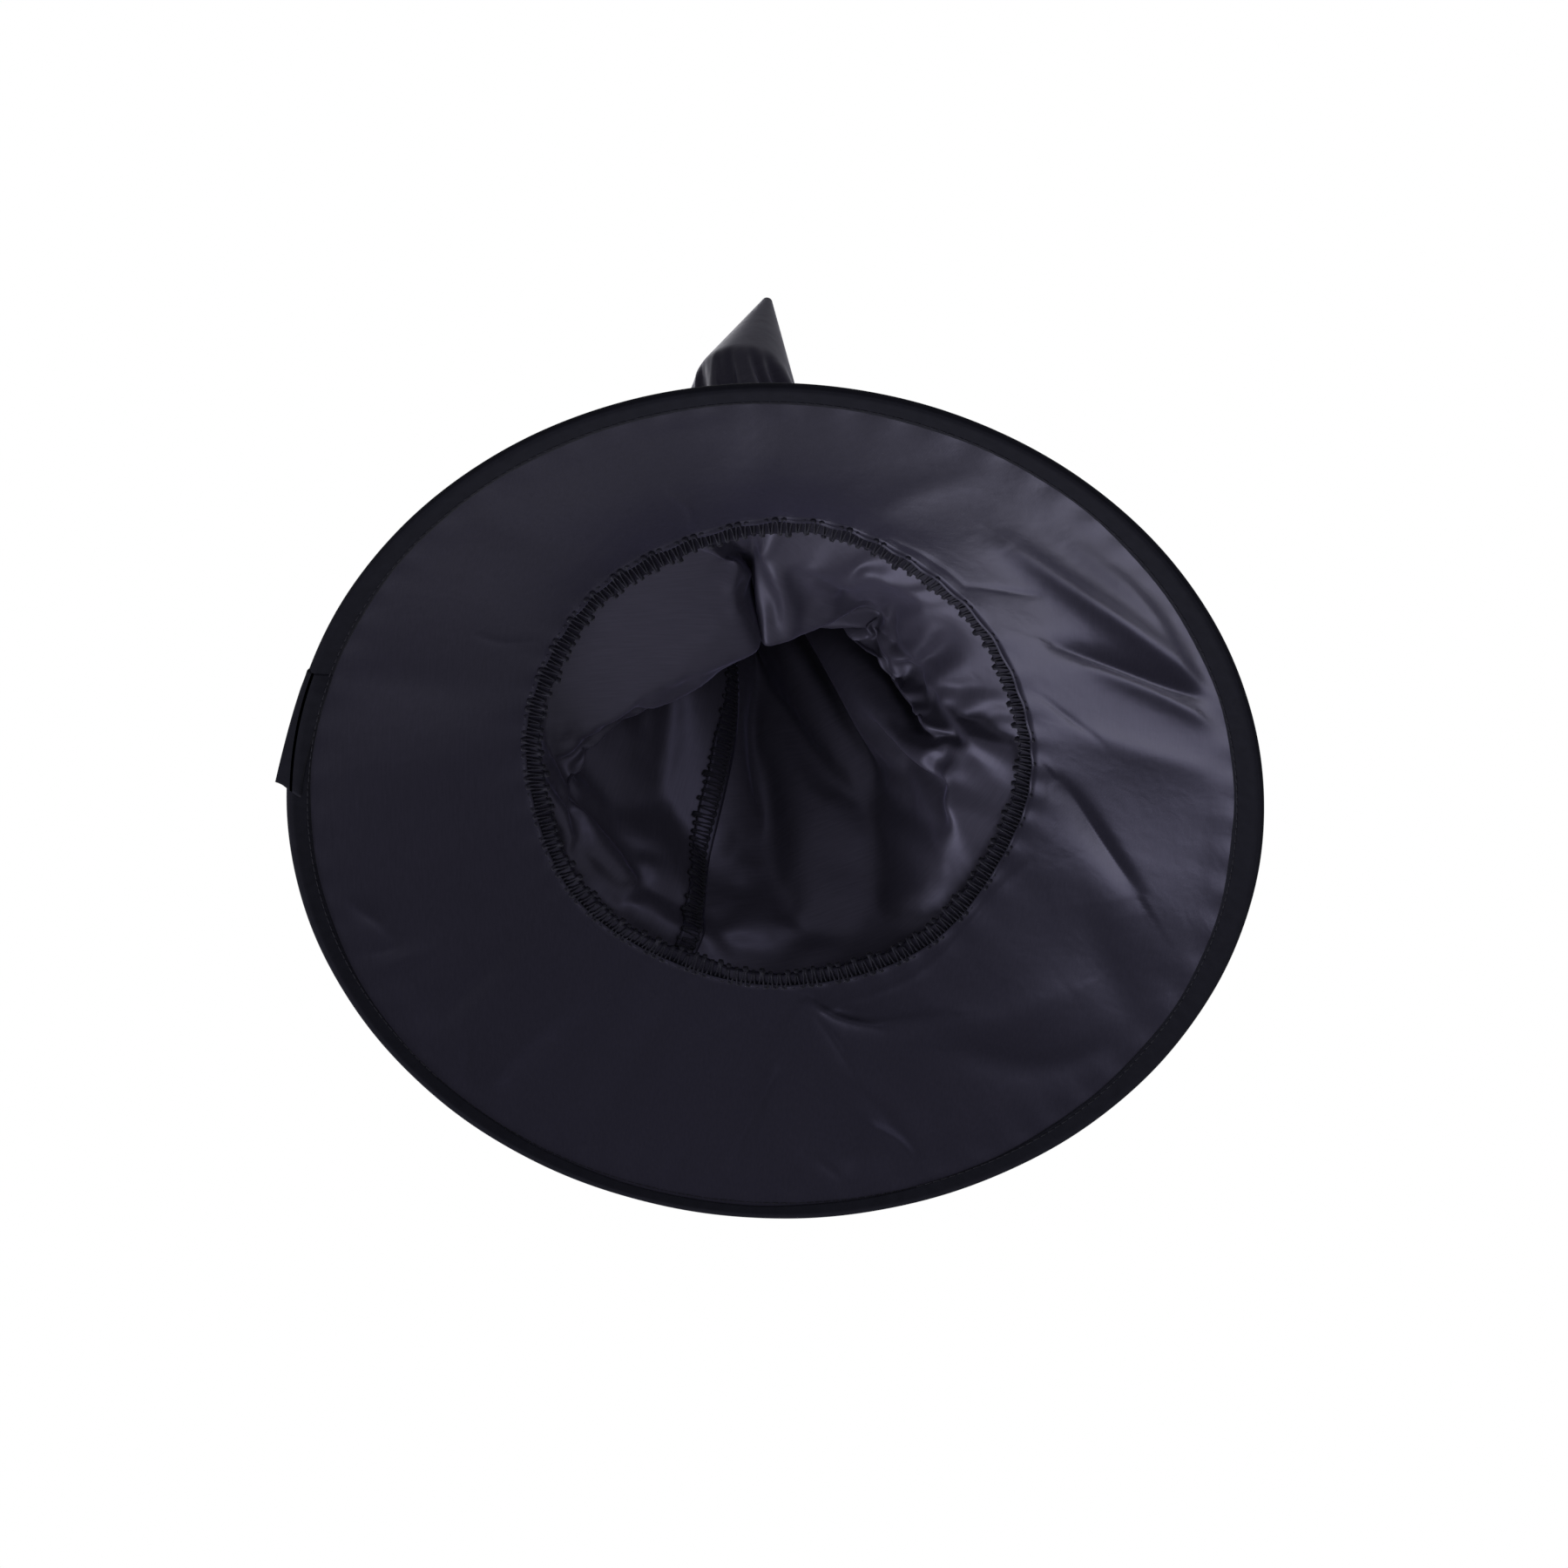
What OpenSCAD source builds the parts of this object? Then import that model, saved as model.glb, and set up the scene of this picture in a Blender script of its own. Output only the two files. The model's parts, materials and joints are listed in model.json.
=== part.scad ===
/* [Brim] */
// Outside diameter of the bound brim
brim_d = 380; // [320:1:440]
// Height of the head seam above the surface that the brim stands on
brim_rise = 42; // [25:1:60]
// Thickness of each of the two brim cloths
brim_cloth_t = 0.5; // [0.3:0.1:0.8]
// Thickness of the non-woven stiffener between the brim cloths
stiffener_t = 1.2; // [0.8:0.1:2]

/* [Rim] */
// Diameter of the spring-steel wire in the rim
wire_d = 1.6; // [1.2:0.1:2.4]
// Gap left between the two ends of the wire, inside the joining sleeve
wire_end_gap = 2; // [1:0.5:6]
// Length of the sleeve that joins the wire's ends
sleeve_l = 30; // [20:1:50]
// Wall of the joining sleeve
sleeve_wall = 0.35; // [0.2:0.05:0.6]
// Thickness of the binding tape
tape_t = 0.55; // [0.3:0.05:0.8]
// Width of binding seen on each face of the brim, from the wire inward
tape_w = 10; // [7:0.5:16]
// Length over which the end of the tape laps its start
lap_l = 45; // [25:1:70]
// Where the loose end of the lap lies round the rim, in degrees from +X
lap_end_a = 182; // [0:1:359]

/* [Head opening] */
// Free diameter of the opening, across the overlocked edge
head_d = 187; // [165:1:200]
// Width of the seam allowance that is turned into the opening
allowance_w = 8.6; // [7:0.1:12]
// Thickness of the seam allowance, three cloths pressed together
allowance_t = 2; // [1.4:0.1:2.6]

/* [Crown] */
// Height of the crown's point above the head seam, as it stands slouched
crown_h = 293; // [240:1:340]
// Distance that the point has slumped towards the front
crown_lean = 50; // [0:1:80]
// Thickness of the crown cloth
crown_t = 1; // [0.6:0.1:1.4]
// Radius of the blunt point
point_r = 2.4; // [1.8:0.1:4]
// Height of the lower bend above the head seam
lower_bend_h = 143; // [120:1:160]
// Length of loose cloth that crumples at the lower bend
lower_fold_l = 40; // [36:1:50]
// Height of the upper bend above the head seam
upper_bend_h = 220; // [200:1:235]
// Length of loose cloth that crumples at the upper bend
upper_fold_l = 30; // [28:1:36]

/* [Back seam] */
// Where the back seam runs up the crown, in degrees from +X
back_seam_a = 107; // [90:1:130]
// Width of the back seam's allowance, pressed flat on the inside of the crown
back_allowance_w = 9; // [6:0.5:14]
// Thickness of the back seam's allowance
back_allowance_t = 1.2; // [0.8:0.1:1.8]
// Distance below the point at which the back seam's allowance is trimmed off
seam_trim_l = 34; // [28:1:45]

/* [Thread] */
// Diameter of the sewing thread
thread_d = 0.4; // [0.3:0.05:0.6]
// Width of the overlock stitching along a raw edge
overlock_w = 4.5; // [3:0.5:5]
// Thickness of the overlock stitching on each face of a raw edge
overlock_t = 0.5; // [0.3:0.05:0.6]

/* [Hidden] */
$fn = 180;

// Clearances between cloths that are sewn face to face
layer_gap = 0.1;
tape_gap = 0.15;
seam_gap = 0.15;
thread_gap = 0.05;
// Radial clearance of the sleeve on the wire
sleeve_fit = 0.03;
// How deep the binding is squashed flat where it rests on a surface
foot_squash = 0.15;
// Room between the edge of the brim cloths and the sleeve on the wire
edge_setback = 0.4;
// The stitching lies this far from the inner edge of the binding
stitch_inset = 1.5;
// Lift of the lap's edges above the surface the brim stands on
lap_lift = 0.3;

// The brim's layers, from the wire's centre W up the slope to the head seam
wire_r = wire_d / 2;
sleeve_r = wire_r + sleeve_fit + sleeve_wall;
stack_t = 2 * brim_cloth_t + stiffener_t + 2 * layer_gap;
cavity_r = max(stack_t / 2, sleeve_r) + tape_gap;
binding_r = cavity_r + tape_t;
lap_in_r = binding_r + layer_gap;
lap_r = lap_in_r + tape_t;
rim_r = brim_d / 2 - binding_r;
rim_z = binding_r - foot_squash;
seam_r = head_d / 2 + allowance_w;
slope = atan2(brim_rise - rim_z, rim_r - seam_r);
layers_end = sleeve_r + edge_setback;

// Angles round the rim that the lap and the sleeve take
lap_sweep = lap_l / rim_r * 180 / PI;
sleeve_sweep = sleeve_l / rim_r * 180 / PI;
wire_gap_sweep = wire_end_gap / rim_r * 180 / PI;
lap_mid_a = lap_end_a + lap_sweep / 2;

// The crown's levels, measured from the surface that the brim stands on
crown_foot_z = brim_rise - stack_t / 2;
point_z = brim_rise + crown_h;
lower_bend_z = brim_rise + lower_bend_h;
upper_bend_z = brim_rise + upper_bend_h;
base_top_z = lower_bend_z - lower_fold_l / 2;
middle_foot_z = lower_bend_z + lower_fold_l / 2;
middle_top_z = upper_bend_z - upper_fold_l / 2;
tip_foot_z = upper_bend_z + upper_fold_l / 2;
seam_top_z = point_z - seam_trim_l;
seam_foot_z = brim_rise + allowance_t / 2 + overlock_t + 3 * thread_gap;
// The slump grows with height to this power, so that the crown stands straight at the head
slump_power = 1.6;
// Facets round the crown, and the height of one ring of facets
crown_sides = 72;
ring_step = 12;
// Facets across a seam allowance, so that it follows the crown's curve
strip_steps = 6;
// Half the length of the stitches that close the point, and their radius
backtack_l = 7;
backtack_r = 0.9;

// A point of the brim's section: u back from the wire up the slope, v above the middle of the layers
function on_slope(u, v) =
    [rim_r, rim_z] + u * [-cos(slope), sin(slope)] + v * [sin(slope), cos(slope)];
// The same, where that line meets the upright edge at radius r
function slope_at_radius(r, v) =
    on_slope((rim_r - r + v * sin(slope)) / cos(slope), v);
function arc(radius, a1, a2, steps = 24) =
    [for (i = [0 : steps]) let (a = a1 + (a2 - a1) * i / steps)
        [rim_r, rim_z] + radius * [cos(a), sin(a)]];
function above_floor(points) = [for (p = points) [p[0], max(p[1], 0)]];
function reversed(list) = [for (i = [len(list) - 1 : -1 : 0]) list[i]];

// The crown: its centre line and outer radius at height z, and a point on its wall
function crown_y(z) = -crown_lean * pow(max(z - brim_rise, 0) / crown_h, slump_power);
function crown_r(z) =
    seam_r - seam_gap - (seam_r - seam_gap - point_r) * (z - crown_foot_z) / (point_z - crown_foot_z);
function wall_point(z, a, inset) = let (r = max(crown_r(z) - inset, 0.2))
    [r * cos(a), crown_y(z) + r * sin(a), z];
function wall_ring(z, inset) =
    [for (i = [0 : crown_sides - 1]) wall_point(z, 360 * i / crown_sides, inset)];
function levels(z1, z2) = let (steps = ceil((z2 - z1) / ring_step))
    [for (i = [0 : steps]) z1 + (z2 - z1) * i / steps];

// A solid through a list of rings with equal counts of points. Its ends are capped,
// or joined to each other where the rings go round a hollow.
module loft(rings, joined = false) {
    n = len(rings[0]);
    m = len(rings);
    last = joined ? m - 1 : m - 2;
    sides = [for (k = [0 : last], i = [0 : n - 1])
        let (a = k * n + i, b = k * n + (i + 1) % n,
             c = ((k + 1) % m) * n + (i + 1) % n, d = ((k + 1) % m) * n + i)
        each [[a, c, b], [a, d, c]]];
    caps = joined ? [] : [[for (i = [0 : n - 1]) i], [for (i = [n - 1 : -1 : 0]) (m - 1) * n + i]];
    polyhedron(points = [for (r = rings) each r], faces = concat(sides, caps), convexity = 6);
}

// A sleeve of crown cloth between two heights, open at both ends
module crown_sleeve(z1, z2) {
    color("#26242e")
        loft(concat([for (z = levels(z1, z2)) wall_ring(z, 0)],
                    [for (z = reversed(levels(z1, z2))) wall_ring(z, crown_t)]), joined = true);
}

// A strip that lies on the inside of the crown beside the back seam
module seam_strip(z1, z2, from_w, to_w, depth, thickness) {
    function row(z, inset) = [for (i = [0 : strip_steps])
        let (w = from_w + (to_w - from_w) * i / strip_steps)
        wall_point(z, back_seam_a + w / crown_r(z) * 180 / PI, inset)];
    loft([for (z = levels(z1, z2)) concat(row(z, depth), reversed(row(z, depth + thickness)))]);
}

module back_seam_allowance(z1, z2) {
    color("#26242e")
        seam_strip(z1, z2, 0, back_allowance_w, crown_t + seam_gap, back_allowance_t);
}

module back_seam_overlock(z1, z2) {
    color("#15141a")
        seam_strip(z1, z2, back_allowance_w - overlock_w, back_allowance_w,
                   crown_t + seam_gap + back_allowance_t + seam_gap, overlock_t);
}

// One layer of the brim, between two heights above the middle of the layers
module brim_layer(v1, v2) {
    rotate_extrude()
        polygon([on_slope(layers_end, v1), on_slope(layers_end, v2),
                 slope_at_radius(seam_r, v2), slope_at_radius(seam_r, v1)]);
}

module brim_under_cloth() {
    color("#2e2c38") brim_layer(-stack_t / 2, -stack_t / 2 + brim_cloth_t);
}

module brim_stiffener() {
    color("#3c3c40") brim_layer(-stiffener_t / 2, stiffener_t / 2);
}

module brim_top_cloth() {
    color("#2e2c38") brim_layer(stack_t / 2 - brim_cloth_t, stack_t / 2);
}

// Spring-steel hoop: one turn of wire whose ends meet under the lap
module rim_hoop_wire() {
    color("#8d8f94")
        rotate([0, 0, lap_mid_a + wire_gap_sweep / 2])
            rotate_extrude(angle = 360 - wire_gap_sweep)
                translate([rim_r, rim_z]) circle(wire_r, $fn = 32);
}

module hoop_joining_sleeve() {
    color("#a9abb0")
        rotate([0, 0, lap_mid_a - sleeve_sweep / 2])
            rotate_extrude(angle = sleeve_sweep)
                translate([rim_r, rim_z]) difference() {
                    circle(sleeve_r, $fn = 32);
                    circle(wire_r + sleeve_fit, $fn = 32);
                }
}

// Tape folded over the wire and the brim's raw edges, squashed flat where it rests
module rim_binding() {
    a1 = -90 - slope;
    a2 = 90 - slope;
    color("#17161c")
        rotate_extrude()
            polygon(concat([on_slope(tape_w, -binding_r)],
                           above_floor(arc(binding_r, a1, a2)),
                           [on_slope(tape_w, binding_r), on_slope(tape_w, cavity_r)],
                           reversed(arc(cavity_r, a1, a2)),
                           [on_slope(tape_w, -cavity_r)]));
}

// The tape's loose end, one flap over the wire and one under the brim,
// which stop short of the foot so that the rim still stands level
module binding_end_lap() {
    over_a = asin((lap_lift - rim_z) / lap_r);
    under_u = (lap_r * cos(slope) - rim_z + lap_lift) / sin(slope);
    color("#17161c")
        rotate([0, 0, lap_end_a])
            rotate_extrude(angle = lap_sweep) {
                polygon(concat(arc(lap_r, over_a, 90 - slope),
                               [on_slope(tape_w, lap_r), on_slope(tape_w, lap_in_r)],
                               arc(lap_in_r, 90 - slope, over_a)));
                polygon([on_slope(under_u, -lap_r), on_slope(tape_w, -lap_r),
                         on_slope(tape_w, -lap_in_r), on_slope(under_u, -lap_in_r)]);
            }
}

// One line of thread on each face of the binding, raised where it crosses the lap
module binding_stitching() {
    module stitch_line(start_a, sweep, surface_r) {
        for (side = [-1, 1])
            rotate([0, 0, start_a]) rotate_extrude(angle = sweep)
                translate(on_slope(tape_w - stitch_inset, side * (surface_r + thread_gap + thread_d / 2)))
                    circle(thread_d / 2, $fn = 16);
    }
    clear_sweep = 2 * thread_d / rim_r * 180 / PI;
    color("#0e0d12") {
        stitch_line(lap_end_a + lap_sweep + clear_sweep, 360 - lap_sweep - 2 * clear_sweep, binding_r);
        stitch_line(lap_end_a, lap_sweep, lap_r);
    }
}

// Raw edges of crown and brim, turned into the opening
module head_seam_allowance() {
    outer_r = crown_r(brim_rise + allowance_t / 2) - crown_t - seam_gap;
    inner_r = head_d / 2 + overlock_t + thread_gap;
    color("#26242e")
        rotate_extrude()
            translate([inner_r, brim_rise - allowance_t / 2]) square([outer_r - inner_r, allowance_t]);
}

// Overlock stitching wrapped round the turned edge; its inside is the free opening
module head_seam_overlock() {
    half_t = allowance_t / 2 + thread_gap;
    color("#15141a")
        rotate_extrude()
            translate([head_d / 2, brim_rise]) difference() {
                translate([0, -half_t - overlock_t]) square([overlock_w, 2 * (half_t + overlock_t)]);
                translate([overlock_t, -half_t]) square([overlock_w, 2 * half_t]);
            }
}

// Straight stitching under the allowance, which joins crown and brim
module head_seam_lockstitch() {
    r = (head_d / 2 + overlock_w + crown_r(brim_rise) - crown_t) / 2;
    color("#0e0d12")
        rotate_extrude()
            translate([r, brim_rise - allowance_t / 2 - thread_gap - thread_d / 2])
                circle(thread_d / 2, $fn = 16);
}

// Lower part of the cone, from the head seam up to the lower bend
module crown_base() {
    crown_sleeve(crown_foot_z, base_top_z);
}

module crown_base_seam_allowance() {
    back_seam_allowance(seam_foot_z, base_top_z);
}

module crown_base_seam_overlock() {
    back_seam_overlock(seam_foot_z, base_top_z);
}

// Band of the cone that crumples when the crown flops over
module crown_lower_fold() {
    crown_sleeve(base_top_z, middle_foot_z);
}

// Part of the cone between the two bends
module crown_middle() {
    crown_sleeve(middle_foot_z, middle_top_z);
}

module crown_middle_seam_allowance() {
    back_seam_allowance(middle_foot_z, middle_top_z);
}

module crown_middle_seam_overlock() {
    back_seam_overlock(middle_foot_z, middle_top_z);
}

// Band of the cone that crumples when the point droops
module crown_upper_fold() {
    crown_sleeve(middle_top_z, tip_foot_z);
}

// The point of the crown, closed at the top
module crown_tip() {
    inner_top_z = point_z - 2 * crown_t;
    color("#26242e")
        loft(concat([for (z = reversed(levels(tip_foot_z, inner_top_z))) wall_ring(z, crown_t)],
                    [for (z = levels(tip_foot_z, point_z)) wall_ring(z, 0)]));
}

module crown_tip_seam_allowance() {
    back_seam_allowance(tip_foot_z, seam_top_z);
}

module crown_tip_seam_overlock() {
    back_seam_overlock(tip_foot_z, seam_top_z);
}

// Bunched end of the seam, stitched fast inside the point
module crown_tip_backtack() {
    top_z = point_z - 2 * crown_t - 2 * backtack_r;
    color("#0e0d12")
        translate([0, crown_y(top_z), top_z - backtack_l]) cylinder(r = backtack_r, h = backtack_l, $fn = 24);
}

brim_under_cloth();
brim_stiffener();
brim_top_cloth();
rim_hoop_wire();
hoop_joining_sleeve();
rim_binding();
binding_end_lap();
binding_stitching();
head_seam_allowance();
head_seam_overlock();
head_seam_lockstitch();
crown_base();
crown_base_seam_allowance();
crown_base_seam_overlock();
crown_lower_fold();
crown_middle();
crown_middle_seam_allowance();
crown_middle_seam_overlock();
crown_upper_fold();
crown_tip();
crown_tip_seam_allowance();
crown_tip_seam_overlock();
crown_tip_backtack();
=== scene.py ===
import json
import math

import bpy
import numpy as np
from mathutils import Matrix, Vector


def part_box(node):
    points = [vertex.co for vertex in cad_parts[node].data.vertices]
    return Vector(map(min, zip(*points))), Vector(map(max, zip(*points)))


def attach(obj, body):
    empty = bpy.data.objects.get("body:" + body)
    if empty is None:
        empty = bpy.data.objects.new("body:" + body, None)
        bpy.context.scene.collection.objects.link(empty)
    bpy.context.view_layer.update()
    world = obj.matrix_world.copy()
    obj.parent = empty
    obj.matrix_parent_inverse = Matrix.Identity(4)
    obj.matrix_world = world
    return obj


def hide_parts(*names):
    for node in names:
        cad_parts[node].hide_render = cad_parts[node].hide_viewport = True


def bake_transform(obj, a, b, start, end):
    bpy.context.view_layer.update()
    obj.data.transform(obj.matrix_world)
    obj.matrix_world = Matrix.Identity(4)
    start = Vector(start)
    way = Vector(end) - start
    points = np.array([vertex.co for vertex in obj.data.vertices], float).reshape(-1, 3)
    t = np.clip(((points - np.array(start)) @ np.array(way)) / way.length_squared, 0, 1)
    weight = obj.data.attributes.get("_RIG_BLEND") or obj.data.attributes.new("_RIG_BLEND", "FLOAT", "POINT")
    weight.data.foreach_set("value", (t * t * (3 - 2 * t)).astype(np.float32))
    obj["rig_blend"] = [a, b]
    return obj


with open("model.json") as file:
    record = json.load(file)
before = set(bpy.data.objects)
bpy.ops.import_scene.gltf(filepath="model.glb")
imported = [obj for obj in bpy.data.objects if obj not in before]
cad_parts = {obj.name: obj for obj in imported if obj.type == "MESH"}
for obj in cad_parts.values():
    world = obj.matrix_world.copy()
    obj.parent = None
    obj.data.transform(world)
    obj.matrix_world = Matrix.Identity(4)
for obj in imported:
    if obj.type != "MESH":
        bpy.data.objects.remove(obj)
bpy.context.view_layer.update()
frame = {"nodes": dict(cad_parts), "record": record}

mm = 0.001

# --- Studio ---------------------------------------------------------------------------------
# The hat stands on a pale table. It is looked at from below and in front, under its brim, so
# the table top is see-through from underneath and only shows, with the hat's shadow, from above.

view_distance = 3.0
view_lens = 177.2
view_tilt = math.radians(31.3)
view_roll = math.radians(2.47)
aim_right, aim_up = 3.6 * mm, 11.6 * mm

looking = Vector((0, math.sin(view_tilt), math.cos(view_tilt)))
level_up = Vector((0, -math.cos(view_tilt), math.sin(view_tilt)))
level_right = Vector((1, 0, 0))
right = level_right * math.cos(view_roll) + level_up * math.sin(view_roll)
up = level_up * math.cos(view_roll) - level_right * math.sin(view_roll)
aim = Vector((0, 0, 2 * mm)) + right * aim_right + up * aim_up

camera = bpy.data.objects.new("camera", bpy.data.cameras.new("camera"))
bpy.context.scene.collection.objects.link(camera)
camera.data.lens = view_lens
camera.data.sensor_width = 36
camera.data.clip_start, camera.data.clip_end = 0.1, 50
camera.matrix_world = (Matrix.Translation(aim - looking * view_distance)
                       @ Matrix((right, up, -looking)).transposed().to_4x4())
bpy.context.scene.camera = camera


def soft_lamp(name, towards, distance, size, watts, tint=(1, 1, 1)):
    """A square lamp that shines on the hat from the given direction."""
    lamp = bpy.data.lights.new(name, "AREA")
    lamp.size, lamp.energy, lamp.color = size, watts, tint
    holder = bpy.data.objects.new(name, lamp)
    bpy.context.scene.collection.objects.link(holder)
    direction = Vector(towards).normalized()
    holder.location = Vector((0, 0, 0.06)) + direction * distance
    holder.rotation_mode = "QUATERNION"
    holder.rotation_quaternion = (-direction).to_track_quat("-Z", "Y")


soft_lamp("window_low_left", (-0.50, 0.74, -0.45), 2.2, 1.4, 60, (0.92, 0.92, 1.0))
soft_lamp("window_front", (0.35, -0.70, -0.85), 2.4, 0.7, 12, (0.92, 0.92, 1.0))
soft_lamp("ceiling", (-0.35, 0.45, 1.0), 2.4, 1.8, 30)


def join(tree, *links):
    """Joins node sockets, each link being (from node, its output, to node, its input)."""
    for source, out, target, into in links:
        tree.links.new(source.outputs[out], target.inputs[into])


def give(node, **values):
    """Sets a shader node's own inputs; words starting with set_ are its settings."""
    for key, value in values.items():
        if key.startswith("set_"):
            setattr(node, key[4:], value)
        else:
            node.inputs[key.replace("_", " ")].default_value = value
    return node


def put(tree, kind, **values):
    """A new shader node with the given inputs and settings."""
    return give(tree.nodes.new(kind), **values)


def maths(tree, operation, second=None):
    """A Math node, with its second value where that is fixed."""
    node = put(tree, "ShaderNodeMath", set_operation=operation)
    if second is not None:
        node.inputs[1].default_value = second
    return node


studio = bpy.data.worlds.new("studio")
studio.use_nodes = True
bpy.context.scene.world = studio
tree = studio.node_tree
tree.nodes.clear()
rays = put(tree, "ShaderNodeLightPath")
seen_by_camera_or_gloss = maths(tree, "MAXIMUM")
seen_at_all = maths(tree, "MAXIMUM")
dim_room = put(tree, "ShaderNodeBackground", Color=(0.92, 0.95, 1.0, 1), Strength=0.24)
white_paper = put(tree, "ShaderNodeBackground", Color=(1, 1, 1, 1), Strength=1.0)
room_or_paper = put(tree, "ShaderNodeMixShader")
world_out = put(tree, "ShaderNodeOutputWorld")
join(tree, (rays, "Is Camera Ray", seen_by_camera_or_gloss, 0),
     (rays, "Is Glossy Ray", seen_by_camera_or_gloss, 1),
     (seen_by_camera_or_gloss, 0, seen_at_all, 0), (rays, "Is Transmission Ray", seen_at_all, 1),
     (seen_at_all, 0, room_or_paper, 0), (dim_room, 0, room_or_paper, 1),
     (white_paper, 0, room_or_paper, 2), (room_or_paper, 0, world_out, 0))

table_half = 4.0
table_drop = 0.3 * mm
table_mesh = bpy.data.meshes.new("table_top")
table_mesh.from_pydata([(x * table_half, y * table_half, -table_drop)
                        for x, y in ((-1, -1), (1, -1), (1, 1), (-1, 1))], [], [(0, 1, 2, 3)])
table_top = bpy.data.objects.new("table_top", table_mesh)
bpy.context.scene.collection.objects.link(table_top)

pale_paint = bpy.data.materials.new("pale_paint")
pale_paint.use_nodes = True
tree = pale_paint.node_tree
tree.nodes.clear()
rays = put(tree, "ShaderNodeLightPath")
side = put(tree, "ShaderNodeNewGeometry")
from_above = maths(tree, "SUBTRACT")
from_above.inputs[0].default_value = 1
seen_from_above = maths(tree, "MULTIPLY")
paint = put(tree, "ShaderNodeBsdfDiffuse", Color=(0.80, 0.80, 0.81, 1))
nothing = put(tree, "ShaderNodeBsdfTransparent")
paint_or_nothing = put(tree, "ShaderNodeMixShader")
paint_out = put(tree, "ShaderNodeOutputMaterial")
join(tree, (side, "Backfacing", from_above, 1), (from_above, 0, seen_from_above, 0),
     (rays, "Is Camera Ray", seen_from_above, 1), (seen_from_above, 0, paint_or_nothing, 0),
     (nothing, 0, paint_or_nothing, 1), (paint, 0, paint_or_nothing, 2),
     (paint_or_nothing, 0, paint_out, "Surface"))
table_mesh.materials.append(pale_paint)

bpy.context.scene.view_settings.view_transform = "Standard"


# --- Brim: two satin cloths with a stiffener between them ------------------------------------
# Three flat rings cut from cloth and sewn together at the head and at the rim. They slope
# down from the head seam to the wire, and have kept the creases of their packing.

wire_low, wire_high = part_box("rim_hoop_wire")
wire_r = (wire_high.z - wire_low.z) / 2
rim_r = wire_high.x - wire_r
rim_z = (wire_high.z + wire_low.z) / 2
opening = next(m for m in frame["record"]["mounts"] if m["name"] == "head_opening")
seam_z = opening["pos_m"][2]
opening_r = opening["dims"]["r_mm"] * mm
allowance_w = 8.6 * mm
seam_r = opening_r + allowance_w
slope_a = math.atan2(seam_z - rim_z, rim_r - seam_r)
slope_l = math.hypot(seam_z - rim_z, rim_r - seam_r)
cloth_t = 0.5 * mm
stiffener_t = 1.2 * mm
layer_gap = 0.1 * mm
layers_start = 1.6 * mm


def seam_swell(a):
    """How far the head seam stands outside its circle: the soft cloth pulls it out of round."""
    return mm * (3.9 * np.sin(a) ** 2 - 0.4 + 0.8 * np.cos(5 * a + 0.8) + 0.5 * np.cos(8 * a - 0.6))


# Folds of all three layers: places along the fold as (degrees round the brim, mm in from the
# rim), how far it bulges below the brim in mm (negative: a groove), and how far it spreads to
# each side in mm, first towards smaller angles.
brim_folds = [
    ([(-52, 52), (-36, 45), (-25, 26), (-20, 10)], -4.6, 10, 8),
    ([(-31, 70), (-26, 50), (-21, 28), (-19, 8)], 3.4, 6, 4),
    ([(-25, 60), (-20, 38), (-15, 14)], -2.2, 4, 6),
    ([(-12, 78), (-9, 48), (-8, 20)], -1.6, 8, 10),
    ([(-48, 28), (-36, 22), (-29, 20)], -1.4, 7, 7),
    ([(0, 84), (3, 74), (9, 60), (15, 42)], 2.4, 3, 10),
    ([(22, 60), (30, 34), (33, 12)], 1.2, 12, 12),
    ([(58, 52), (47, 24), (33, 9)], 2.0, 7, 10),
    ([(60, 72), (50, 50), (36, 44)], -1.6, 9, 12),
    ([(88, 64), (90, 48), (94, 20)], 1.6, 5, 7),
    ([(81, 88), (72, 74), (56, 66)], 1.6, 3, 7),
    ([(78, 60), (70, 34), (68, 14)], -1.4, 10, 8),
    ([(74, 30), (77, 20), (79, 10)], 1.3, 4, 4),
    ([(84, 26), (86, 17), (88, 9)], -1.0, 4, 4),
    ([(110, 80), (112, 50), (114, 14)], 1.3, 10, 12),
    ([(125, 70), (128, 40), (129, 12)], -1.4, 8, 10),
    ([(141, 60), (141, 30), (140, 8)], 1.6, 7, 9),
    ([(150, 34), (151, 22), (152, 8)], -1.2, 4, 5),
    ([(158, 24), (162, 12), (165, 5)], 1.2, 4, 5),
    ([(195, 70), (197, 40), (198, 12)], 1.0, 12, 12),
    ([(232, 74), (228, 44), (226, 10)], -1.1, 12, 14),
    ([(262, 70), (266, 40), (268, 12)], 1.0, 14, 14),
    ([(286, 76), (290, 50), (296, 24)], -1.2, 12, 12),
]


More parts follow.
